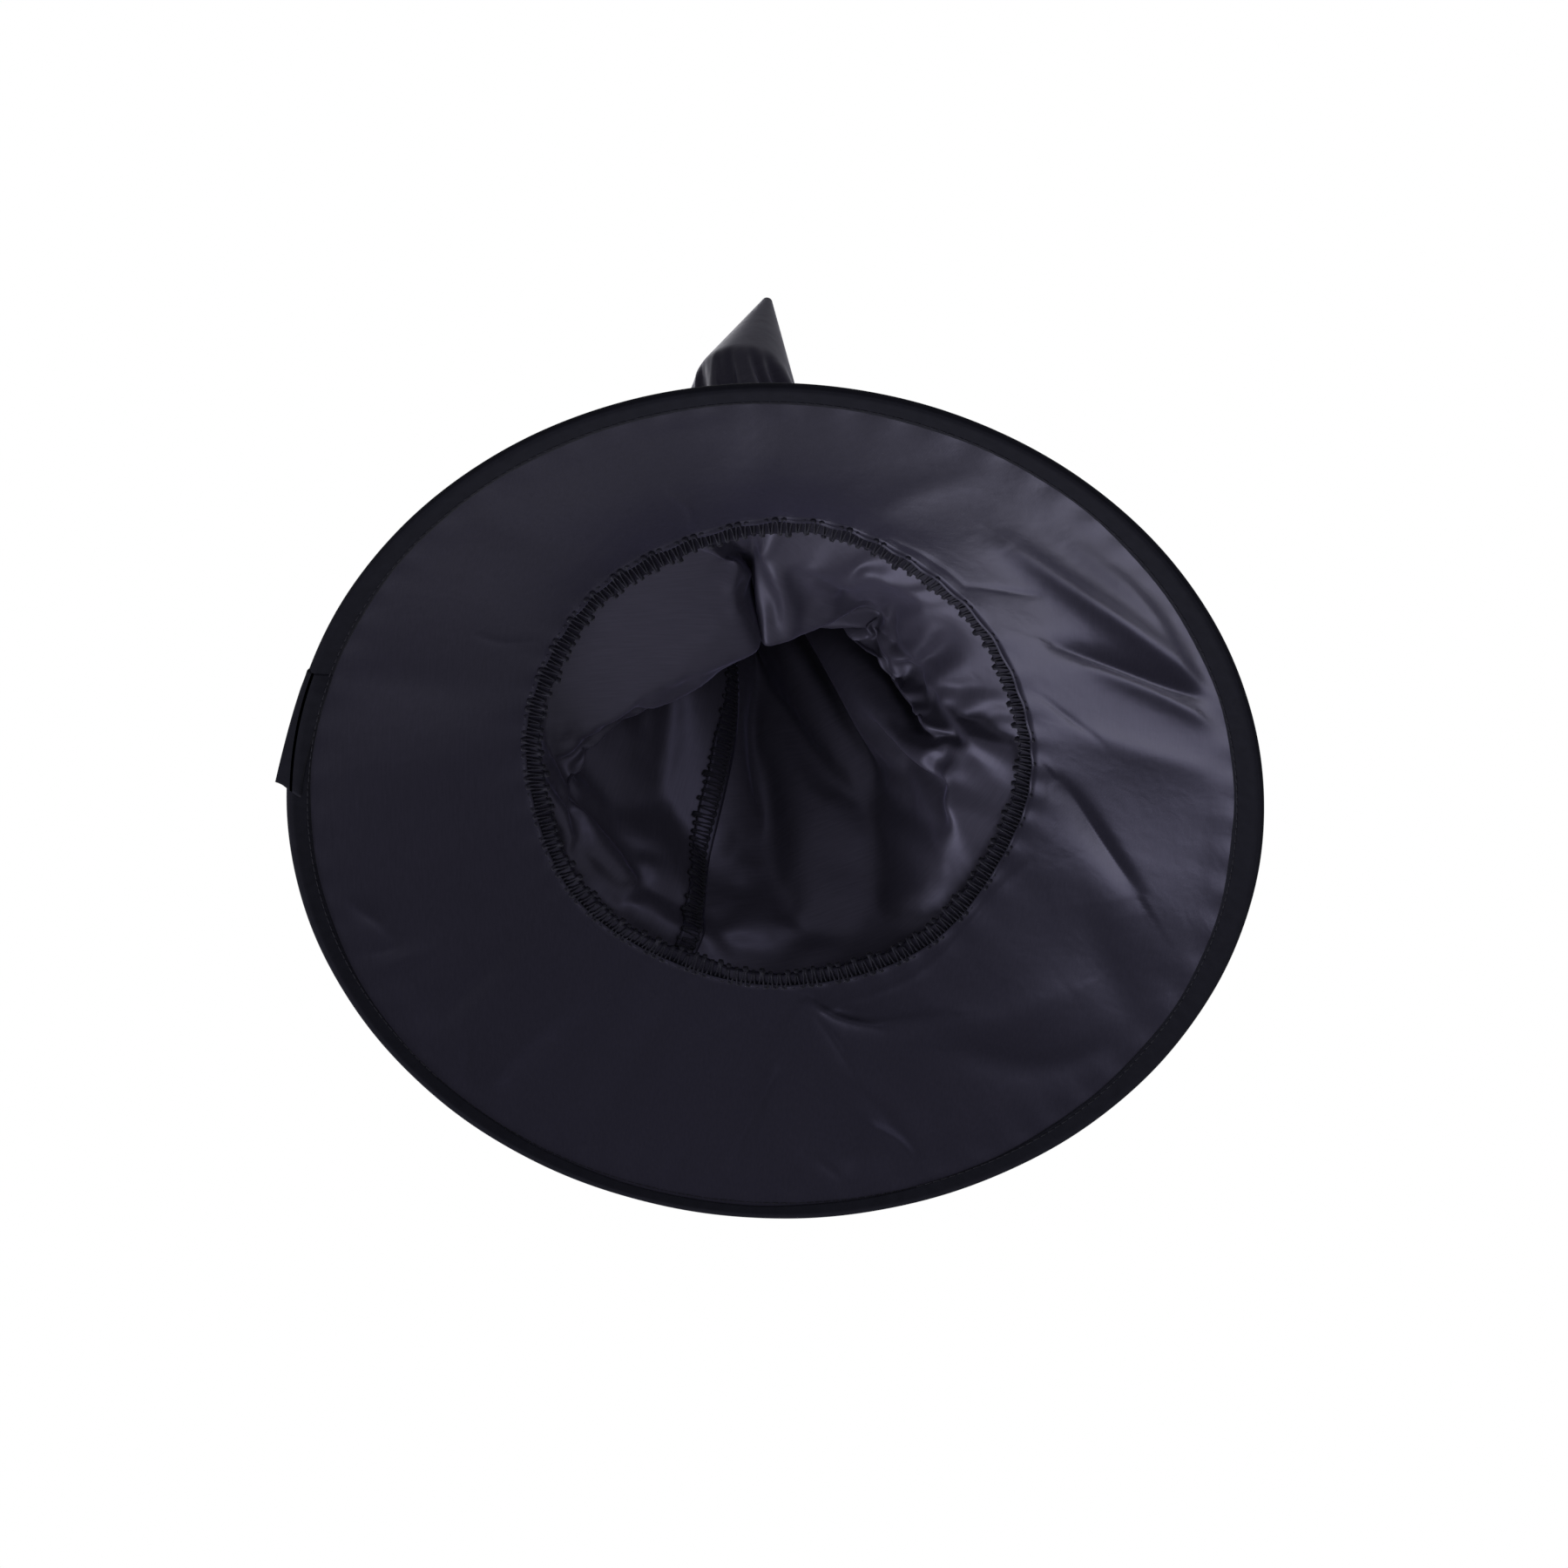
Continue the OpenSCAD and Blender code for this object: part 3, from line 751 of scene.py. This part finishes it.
cone_slant = 340 * mm
cone_r = 101.5 * mm
cone_z = seam_z + 1.1 * mm
point = Vector((-12 * mm, -56 * mm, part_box("crown_tip")[1].z - 6 * mm))
firm_point = 75 * mm
slump_frames, last_frame = 30, 45
round_count = 112
ring_gap = 5.4 * mm
point_trim = 6 * mm
lean_forward, lean_sideways = math.radians(8.5), math.radians(7)
pull_spread = 0.6
ring_count = int(round((cone_slant - point_trim) / ring_gap)) + 1
back_seam = math.radians(107)
cone_rise = math.sqrt(cone_slant ** 2 - cone_r ** 2)


def straight_cone(up, a):
    """The place of the cloth on the cone as it was sewn: up from the head seam, and round."""
    left = 1 - up / cone_slant
    swell = seam_swell(a) * left ** 6
    r = np.maximum(cone_r * left, 1.2 * mm) + swell
    z = cone_z + cone_rise * up / cone_slant + (seam_height(a) - seam_z) * left ** 6
    return around(a, r, z)


# The creases that the slumped cloth has kept. Each runs through places on the cloth, given as
# (degrees round, mm up from the head seam), that lie at the places after them, in mm.
creases = [
    [((-186, 38), (-87, 17, 65)), ((-157, 60), (-50, -11, 70)), ((-121, 58), (-19, -50, 72)),
     ((-114, 36), (-22, -77, 71))],
    [((-157, 60), (-50, -11, 70)), ((-130, 84), (-10, -24, 85))],
    [((-91, 90), (-6, -25, 86)), ((-56, 80), (35, -38, 101))],
    [((-92, 36), (-10, -76, 69)), ((-76, 38), (12, -69, 70)), ((-56, 80), (35, -38, 101))],
    [((-56, 80), (35, -38, 101)), ((-21, 86), (44, -10, 94)), ((8, 50), (62, 4, 62)),
     ((20, 30), (67, 22, 52))],
    [((-56, 80), (35, -38, 101)), ((-19, 60), (57, -15, 82)), ((-1, 32), (75, -7, 54))],
    [((-64, 33), (30, -73, 65)), ((-42, 23), (62, -61, 60))],
]

# The bottoms of the hollows between them, and the back wall, which is held out more softly:
# (degrees, mm up), the place in mm, how much cloth goes along, how firmly
hollows = [
    ((-103, 50), (-15, -77, 86), 5, 0.9), ((-107, 70), (-12, -64, 103), 5, 0.9),
    ((-110, 90), (-10, -42, 102), 5, 0.9), ((-78, 64), (14, -52, 92), 4, 0.7),
    ((-50, 62), (42, -48, 94), 5, 0.9), ((-20, 76), (50, -8, 102), 5, 0.9),
    ((5, 46), (66, 2, 74), 4, 0.9), ((90, 70), (-2, 76, 106), 6, 0.3),
    ((125, 70), (-50, 61, 106), 6, 0.3), ((55, 70), (45, 61, 106), 6, 0.3),
    ((90, 140), (-5, 46, 168), 6, 0.3),
]


def crease_pulls(places):
    """Pulls about every 10 mm along one crease, written like the hollows."""
    pulls = []
    for (spot_1, place_1), (spot_2, place_2) in zip(places[:-1], places[1:]):
        steps = max(2, round(math.dist(place_1, place_2) / 10))
        for t in np.linspace(0, 1, steps + 1):
            spot = (1 - t) * np.array(spot_1) + t * np.array(spot_2)
            place = (1 - t) * np.array(place_1) + t * np.array(place_2)
            pulls.append((tuple(spot), tuple(place), 4, 1.0))
    return pulls


def drape_crown():
    """Lets the cone slump, and gives its net of points: rings up, places round."""
    scale = 10.0
    ups = np.linspace(0, cone_slant - point_trim, ring_count)
    angles = back_seam + 2 * np.pi * np.arange(round_count) / round_count
    u, a = np.meshgrid(ups, angles, indexing="ij")
    net = straight_cone(u, a).reshape(-1, 3)
    u, a = u.ravel(), a.ravel()
    target = net.copy()
    hold = np.where(u < point_trim, 1.0, 0.0)
    tip = u > cone_slant - firm_point
    apex = np.array([0, 0, cone_z + cone_rise])
    turn = np.array(Matrix.Rotation(lean_sideways, 3, "Y") @ Matrix.Rotation(lean_forward, 3, "X"))
    target[tip] = np.array(point) + (net[tip] - apex) @ turn.T
    hold[tip] = 1.0
    pulls = [pull for crease in creases for pull in crease_pulls(crease)] + hollows
    for (degrees, up), place, reach, firmness in pulls:
        away = (a - math.radians(degrees) + math.pi) % (2 * math.pi) - math.pi
        left = cone_slant - u
        turned = away * cone_r / cone_slant
        gap = np.hypot(left * np.sin(turned), left * np.cos(turned) - (cone_slant - up * mm))
        near = gap < reach * mm
        middle = straight_cone(np.array(up * mm), np.array(math.radians(degrees)))
        target[near] = np.array(place) * mm + pull_spread * (net[near] - middle)
        hold[near] = firmness
    cloth = add_mesh("crown_drape", net * scale, net_faces(ring_count, round_count))
    pinned = cloth.vertex_groups.new(name="held")
    for i in np.flatnonzero(hold):
        pinned.add([int(i)], float(hold[i]), "REPLACE")
    cloth.shape_key_add(name="sewn")
    slump = cloth.shape_key_add(name="slumped")
    slump.data.foreach_set("co", (target * scale).astype(np.float32).ravel())
    slump.value = 0
    slump.keyframe_insert("value", frame=1)
    slump.value = 1
    slump.keyframe_insert("value", frame=slump_frames)
    for curve in cloth.data.shape_keys.animation_data.action.fcurves:
        for key in curve.keyframe_points:
            key.interpolation = "SINE"
    drape = cloth.modifiers.new("Cloth", "CLOTH")
    fabric = drape.settings
    fabric.quality = 4
    fabric.mass = 0.3
    fabric.tension_stiffness, fabric.compression_stiffness, fabric.shear_stiffness = 30, 15, 10
    fabric.bending_stiffness = 0.5
    fabric.tension_damping = fabric.compression_damping = fabric.shear_damping = 5
    fabric.bending_damping = 0.5
    fabric.vertex_group_mass = "held"
    fabric.pin_stiffness = 1
    fabric.effector_weights.gravity = 0.3
    drape.collision_settings.use_collision = False
    drape.collision_settings.use_self_collision = False
    drape.point_cache.frame_start, drape.point_cache.frame_end = 1, last_frame
    for number in range(1, last_frame + 1):
        bpy.context.scene.frame_set(number)
    settled = cloth.evaluated_get(bpy.context.evaluated_depsgraph_get()).to_mesh()
    places = np.zeros(len(settled.vertices) * 3, np.float32)
    settled.vertices.foreach_get("co", places)
    bpy.data.objects.remove(cloth)
    bpy.context.scene.frame_set(1)
    return places.reshape(ring_count, round_count, 3).astype(float) / scale


def finer_net(net):
    """Twice as many points both ways, on a smooth surface through the old ones."""
    before, after = np.roll(net, 1, axis=1), np.roll(net, -1, axis=1)
    wide = np.empty((net.shape[0], net.shape[1] * 2, 3))
    wide[:, ::2] = (before + 6 * net + after) / 8
    wide[:, 1::2] = (net + after) / 2
    tall = np.empty((wide.shape[0] * 2 - 1, wide.shape[1], 3))
    tall[::2] = wide
    tall[2:-2:2] = (wide[:-2] + 6 * wide[1:-1] + wide[2:]) / 8
    tall[1::2] = (wide[:-1] + wide[1:]) / 2
    return tall


def outward_normals(net):
    """The net's unit normals, away from the crown's inside."""
    round_way = np.roll(net, -1, axis=1) - np.roll(net, 1, axis=1)
    up_way = np.gradient(net, axis=0)
    normals = np.cross(round_way, up_way)
    return normals / np.maximum(np.linalg.norm(normals, axis=2), 1e-12)[..., None]


crown_net = finer_net(finer_net(drape_crown()))
crown_normals = outward_normals(crown_net)
net_rows, net_columns = crown_net.shape[:2]
crown_cloth_t = 0.7 * mm

middle_low, middle_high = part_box("crown_middle")[0].z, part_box("crown_middle")[1].z
ring_low, ring_high = crown_net[:, :, 2].min(1), crown_net[:, :, 2].max(1)
cut_row = int(np.argmin(np.abs((ring_low + ring_high) / 2 - (middle_low + middle_high) / 2)))
row_up = (cone_slant - point_trim) / (net_rows - 1)


def lay_of_crown(mesh_object, first_row, rows):
    """Writes each corner's place on the flat cloth, so that the weave follows the cut."""
    lay = mesh_object.data.attributes.new("lay", "FLOAT_VECTOR", "CORNER")
    count = rows * net_columns
    corner_point = np.zeros(len(mesh_object.data.loops), np.int32)
    mesh_object.data.loops.foreach_get("vertex_index", corner_point)
    start = np.zeros(len(mesh_object.data.polygons), np.int32)
    total = np.zeros(len(mesh_object.data.polygons), np.int32)
    mesh_object.data.polygons.foreach_get("loop_start", start)
    mesh_object.data.polygons.foreach_get("loop_total", total)
    column = (corner_point % count) % net_columns
    face_of = np.repeat(np.arange(len(start)), total)
    wraps = np.zeros(len(start), bool)
    np.logical_or.at(wraps, face_of, column == net_columns - 1)
    column = np.where(wraps[face_of] & (column == 0), net_columns, column)
    left = cone_slant - ((corner_point % count) // net_columns + first_row) * row_up
    turned = column / net_columns * 2 * np.pi * cone_r / cone_slant
    flat = np.stack([left * np.sin(turned), left * np.cos(turned), 0 * left], -1)
    lay.data.foreach_set("vector", flat.astype(np.float32).ravel())


def crown_part(name, first_row, last_row):
    """One half of the crown, with thickness. Its cut edges are crisp, so that both halves
    look like one cloth."""
    rows = slice(first_row, last_row + 1)
    half = crown_cloth_t / 2
    part = closed_shell(name, crown_net[rows] - crown_normals[rows] * half,
                        crown_net[rows] + crown_normals[rows] * half)
    lay_of_crown(part, first_row, last_row + 1 - first_row)
    ends = np.zeros(2 * len(part.data.edges), np.int32)
    part.data.edges.foreach_get("vertices", ends)
    row_of = ends.reshape(-1, 2) % ((last_row + 1 - first_row) * net_columns) // net_columns
    at_cut = (row_of == 0).all(1) | (row_of == last_row - first_row).all(1)
    marks = part.data.attributes
    crisp = marks.get("sharp_edge") or marks.new("sharp_edge", "BOOLEAN", "EDGE")
    crisp.data.foreach_set("value", at_cut)
    return part


crown_lower = crown_part("satin_crown_lower", 0, cut_row)
crown_upper = crown_part("satin_crown_point", cut_row, net_rows - 1)
# The crown's outside is the brim's satin with less gloss and a lighter colour: the lighter colour is painted
# sheen.
crown_satin_painted_sheen = black_satin(
    "crown_satin_painted_sheen", lay="lay", dark=(0.0125, 0.0116, 0.0175), light=(0.0215, 0.0198, 0.0300),
    rough=(0.44, 0.56), shine=0.05, sheen=0.09)
# The crown's inside is the cloth's wrong side, and its colour is also made lighter than the outside's, as
# painted fill light in the shaded hollow of the crown.
inside_satin_painted_fill = black_satin(
    "satin_wrong_side_painted_fill", lay="lay", dark=(0.0180, 0.0167, 0.0240), light=(0.0310, 0.0287, 0.0410),
    rough=(0.38, 0.48), shine=0.18, sheen=0.10)
lower_bend = (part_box("crown_lower_fold")[0].z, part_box("crown_lower_fold")[1].z)
upper_bend = (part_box("crown_upper_fold")[0].z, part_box("crown_upper_fold")[1].z)


def bends_low(piece):
    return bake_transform(piece, "brim_and_crown_base", "crown_middle",
                    start=(0, 0, lower_bend[0]), end=(0, 0, lower_bend[1]))


def bends_high(piece):
    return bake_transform(piece, "crown_middle", "crown_point",
                    start=(0, 0, upper_bend[0]), end=(0, 0, upper_bend[1]))


for cloth in (crown_lower, crown_upper):
    cloth.data.materials.append(crown_satin_painted_sheen)
    cloth.data.materials.append(inside_satin_painted_fill)
    # The inside faces take the lighter satin, whose extra lightness is painted fill light.
    inner_faces = (len(cloth.data.polygons) - 2 * net_columns) // 2
    inside_faces_painted_fill = np.arange(len(cloth.data.polygons)) < inner_faces
    cloth.data.polygons.foreach_set("material_index", inside_faces_painted_fill.astype(np.int32))
bends_low(crown_lower)
bends_high(crown_upper)
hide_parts("crown_base", "crown_lower_fold", "crown_middle")
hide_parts("crown_upper_fold", "crown_tip")


# --- Back seam -------------------------------------------------------------------------------
# The cone's two straight edges, sewn together. Their raw edges are pressed to one side on the
# inside of the crown and overlocked: loops of thick thread that reach round the edge.

back_allowance_w = 9 * mm
back_allowance_t = 1.0 * mm
overlock_w = 6.8 * mm


def on_crown(up, from_seam, inward):
    """Places on the crown: up from the head seam, round from the back seam, and off its inside.
    Gives the places and the directions into the crown there."""
    up, from_seam = np.broadcast_arrays(np.asarray(up, float), np.asarray(from_seam, float))
    row = np.clip(up / row_up, 0, net_rows - 1.001)
    radius = np.maximum(cone_r * (1 - up / cone_slant), 2 * mm)
    column = (from_seam / radius / (2 * np.pi) * net_columns) % net_columns
    i, j = row.astype(int), column.astype(int) % net_columns
    fi, fj = (row - i)[..., None], (column - np.floor(column))[..., None]
    k = (j + 1) % net_columns

    def between(net):
        return ((net[i, j] * (1 - fj) + net[i, k] * fj) * (1 - fi)
                + (net[i + 1, j] * (1 - fj) + net[i + 1, k] * fj) * fi)

    normal = between(crown_normals)
    normal = normal / np.linalg.norm(normal, axis=-1)[..., None]
    depth = crown_cloth_t / 2 + np.asarray(inward)[..., None]
    return between(crown_net) - normal * depth, -normal


seam_foot_up = 4 * mm
seam_top_up = cone_slant - 40 * mm
cut_up = cut_row * row_up


def trimmed(up):
    """The share of its width and thickness that the allowance keeps: it is trimmed slimmer
    towards the point, where the cone grows narrow."""
    return 1 - 0.5 * np.clip((up - 100 * mm) / (60 * mm), 0, 1)


def strip_lift(up, share):
    """How far the allowance stands off the crown's cloth, the given share of the way across."""
    return 0.15 * mm + 0.5 * mm * share ** 2 * (1 + np.sin(up / (11 * mm)))


def back_allowance(name, from_up, to_up):
    """A strip of doubled cloth on the inside of the crown, with a slightly wavy raw edge."""
    up, w = np.meshgrid(np.linspace(from_up, to_up, int((to_up - from_up) / (2 * mm)) + 2),
                        np.linspace(0, 1, 9), indexing="ij")
    waver = 1 + 0.05 * np.sin(up / (13 * mm)) + 0.04 * np.sin(up / (5.1 * mm))
    width = trimmed(up) * back_allowance_w * waver
    lift = trimmed(up) * strip_lift(up, w)
    inner, _ = on_crown(up, w * width, lift)
    outer, _ = on_crown(up, w * width, lift + trimmed(up) * back_allowance_t)
    return closed_shell(name, inner, outer, closed=False)


def thread_tube(path, thickness):
    """Points and faces of a thread along a path, its section carried without twisting. Its
    thickness is one number, or one for each point of the path."""
    sides = 6
    thickness = np.broadcast_to(thickness, len(path))[:, None, None]
    along = np.gradient(path, axis=0)
    along /= np.linalg.norm(along, axis=1)[:, None]
    across = np.empty_like(path)
    start = np.cross(along[0], [0.3, 0.2, 1.0])
    across[0] = start / np.linalg.norm(start)
    for n in range(1, len(path)):
        carried = across[n - 1] - along[n] * (across[n - 1] @ along[n])
        across[n] = carried / np.linalg.norm(carried)
    third = np.cross(along, across)
    turn = 2 * np.pi * np.arange(sides) / sides
    ring = (path[:, None] + thickness / 2 * (np.cos(turn)[None, :, None] * across[:, None]
                                             + np.sin(turn)[None, :, None] * third[:, None]))
    count = len(path)
    faces = net_faces(count, sides)
    faces.append(list(range(sides))[::-1])
    faces.append(list(range((count - 1) * sides, count * sides)))
    return ring.reshape(-1, 3), faces


def overlock_loops(length, pitch, wander):
    """The run of the looper thread on one face: how far along, how far across (0 at the needle,
    1 at the raw edge) and a little more beyond it."""
    stitches = int(length / pitch)
    step = np.linspace(0, 1, 12, endpoint=False)
    out = np.clip((step - 0.14) / 0.22, 0, 1)
    back = np.clip((step - 0.54) / 0.22, 0, 1)
    across = eased(out) - eased(back)
    order = np.arange(stitches)
    along = ((order[:, None] + step[None, :]) * length / stitches).ravel()
    across = np.tile(across, stitches)
    uneven = 0.10 * np.sin(order * 2.4 + wander) + 0.06 * np.sin(order * 5.3 + 2 * wander)
    return along, across * (1 + np.repeat(uneven, len(step)))


looper_t = 1.3 * mm
overlock_pitch = 3.3 * mm


def knotted(across):
    """Thickness of the looper thread: full where it is looped round the needle's thread and
    round the raw edge, thin where it is drawn tight between them."""
    return looper_t * (0.35 + 0.85 * np.abs(2 * across - 1) ** 2.5)


def past_edge(across):
    """0 where the thread lies on a face, and up to 1 where it goes round the raw edge."""
    return np.clip((across - 0.8) / 0.25, 0, 1)


def back_overlock(name, from_up, to_up):
    """Looper threads on both faces of the allowance and the needle's row at their foot."""
    rows = []
    edge = back_allowance_w
    for face, wander in ((1, 0.3), (0, 1.9)):
        along, across = overlock_loops(to_up - from_up, overlock_pitch, wander)
        up = from_up + along
        w = edge - overlock_w + across * (overlock_w + 0.2 * mm)
        lift = strip_lift(up, w / edge)
        off = (back_allowance_t + looper_t / 2) if face else -looper_t * 0.1
        middle_off = back_allowance_t / 2
        over_edge = past_edge(across)
        inward = np.maximum(lift + off * (1 - over_edge) + middle_off * over_edge, 0.1 * mm)
        path, _ = on_crown(up, w * trimmed(up), inward * trimmed(up))
        rows.append(thread_tube(path, knotted(across) * (1 if face else 0.6) * trimmed(up) ** 0.5))
    needle_up = np.arange(from_up + 2 * mm, to_up - 2 * mm, overlock_pitch)
    foot = (edge - overlock_w) * trimmed(needle_up)
    height = (0.35 * mm + back_allowance_t) * trimmed(needle_up)
    middles, inward = on_crown(needle_up, foot, height)
    ahead, _ = on_crown(needle_up + mm, foot, height)
    rows.append(thread_pieces(middles, ahead - middles, inward, overlock_pitch * 0.85,
                              thread_t * 1.2))
    return sew(name, rows)


overlock_thread = black_thread("overlock_thread", (0.0045, 0.0044, 0.0066),
                               (0.0110, 0.0105, 0.0155), 0.55)
for name, from_up, to_up, bends, strips, threads in (
        ("lower", seam_foot_up, cut_up, bends_low,
         ("crown_base_seam_allowance", "crown_middle_seam_allowance"),
         ("crown_base_seam_overlock", "crown_middle_seam_overlock")),
        ("upper", cut_up, seam_top_up, bends_high,
         ("crown_tip_seam_allowance",), ("crown_tip_seam_overlock",))):
    strip = back_allowance("back_seam_allowance_" + name, from_up, to_up)
    strip.data.materials.append(brim_satin)
    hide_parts(*strips)
    bends(strip)
    loops = back_overlock("back_seam_overlock_" + name, from_up, to_up)
    loops.data.materials.append(overlock_thread)
    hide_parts(*threads)
    bends(loops)

# The backtack: a few close stitches across the end of the seam at the point
tack_up = cone_slant - 34 * mm
tack_count, tack_gap, tack_slant, tack_l = 7, 1.1 * mm, 0.9 * mm, 3.6 * mm
tack_rows = []
for n in range(tack_count):
    slant = tack_slant if n % 2 else -tack_slant
    up = np.array([tack_up + n * tack_gap])
    outside = np.array([-crown_cloth_t - 0.15 * mm])
    middle, inward = on_crown(up, np.array([0.0]), outside)
    above, _ = on_crown(up + slant, np.array([2.0 * mm]), outside)
    tack_rows.append(thread_pieces(middle, above - middle, -inward, tack_l, thread_t * 1.3))
backtack = sew("point_backtack", tack_rows)
backtack.data.materials.append(sewing_thread)
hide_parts("crown_tip_backtack")
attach(backtack, "crown_point")


# --- Head seam -------------------------------------------------------------------------------
# Crown and brim are sewn together here. Their raw edges stand into the opening as one soft
# flange, held by a row of lockstitch and closed by overlock loops round its edge.

flange_t = 1.7 * mm
flange_in = seam_r - opening_r - 0.9 * mm


def flange_place(a, w, above):
    """Places on the turned edge: round, in from the seam, and above its middle."""
    sway = 0.5 * np.sin(7 * a + 0.5) + 0.35 * np.sin(13 * a + 2.2) + 0.25 * np.sin(29 * a)
    share = w / flange_in
    stand = math.radians(30) * np.exp(-((a - math.radians(335) + np.pi) % (2 * np.pi) - np.pi) ** 2)
    w = w * (1 + 0.05 * np.sin(11 * a) + 0.04 * np.sin(27 * a + 1))
    r = seam_r - 0.6 * mm + seam_swell(a) - w * np.cos(stand)
    z = (seam_height(a) + 0.3 * mm + np.maximum(w, 0) * np.sin(stand)
         + np.maximum(share, 0) ** 1.5 * (sway * 1.1 * mm - 0.6 * mm) + above)
    return around(a, r, z)


a, w = np.meshgrid(np.linspace(0, 2 * np.pi, 720, endpoint=False),
                   np.linspace(-1.2 * mm, flange_in, 10))
flange = closed_shell("head_seam_turned_edge", flange_place(a, w, flange_t / 2),
                      flange_place(a, w, -flange_t / 2))
# The turned edge is the same satin with a much darker colour: painted shade where the turned flange shades
# itself.
flange.data.materials.append(black_satin(
    "seam_edge_satin_painted_shade", dark=(0.0045, 0.0042, 0.0066), light=(0.0085, 0.0079, 0.0124),
    rough=(0.45, 0.55), shine=0.05, sheen=0.03))
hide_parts("head_seam_allowance")
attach(flange, "brim_and_crown_base")


def flange_row(face, count, w, stand_off, length):
    """A row of straight stitches round the turned edge: how many, how far in from the seam,
    how far off the cloth, and how long each is."""
    a = np.arange(count) / count * 2 * np.pi
    w, off = w + 0 * a, face * (flange_t / 2 + stand_off)
    middles = flange_place(a, w, off)
    return thread_pieces(middles, flange_place(a + 0.004, w, off) - middles,
                         np.tile([0, 0, float(face)], (count, 1)), length, thread_t)


head_rows = []
flange_length = 2 * math.pi * (seam_r - flange_in)
for face, wander in ((-1, 0.7), (1, 2.3)):
    along, across = overlock_loops(flange_length, overlock_pitch, wander)
    a = along / flange_length * 2 * np.pi
    w = flange_in - overlock_w + across * (overlock_w + 0.3 * mm)
    off = face * (flange_t / 2 + looper_t * 0.35) * (1 - past_edge(across))
    head_rows.append(thread_tube(flange_place(a, w, off), knotted(across)))
    head_rows.append(flange_row(face, int(flange_length / overlock_pitch), flange_in - overlock_w,
                                0.15 * mm, overlock_pitch * 0.85))
head_loops = sew("head_seam_overlock_loops", head_rows)
head_loops.data.materials.append(overlock_thread)
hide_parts("head_seam_overlock")
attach(head_loops, "brim_and_crown_base")

lockstitch = sew("head_seam_lockstitch_row",
                 [flange_row(face, count=200, w=1.6 * mm, stand_off=0.1 * mm, length=2.7 * mm)
                  for face in (-1, 1)])
lockstitch.data.materials.append(sewing_thread)
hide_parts("head_seam_lockstitch")
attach(lockstitch, "brim_and_crown_base")
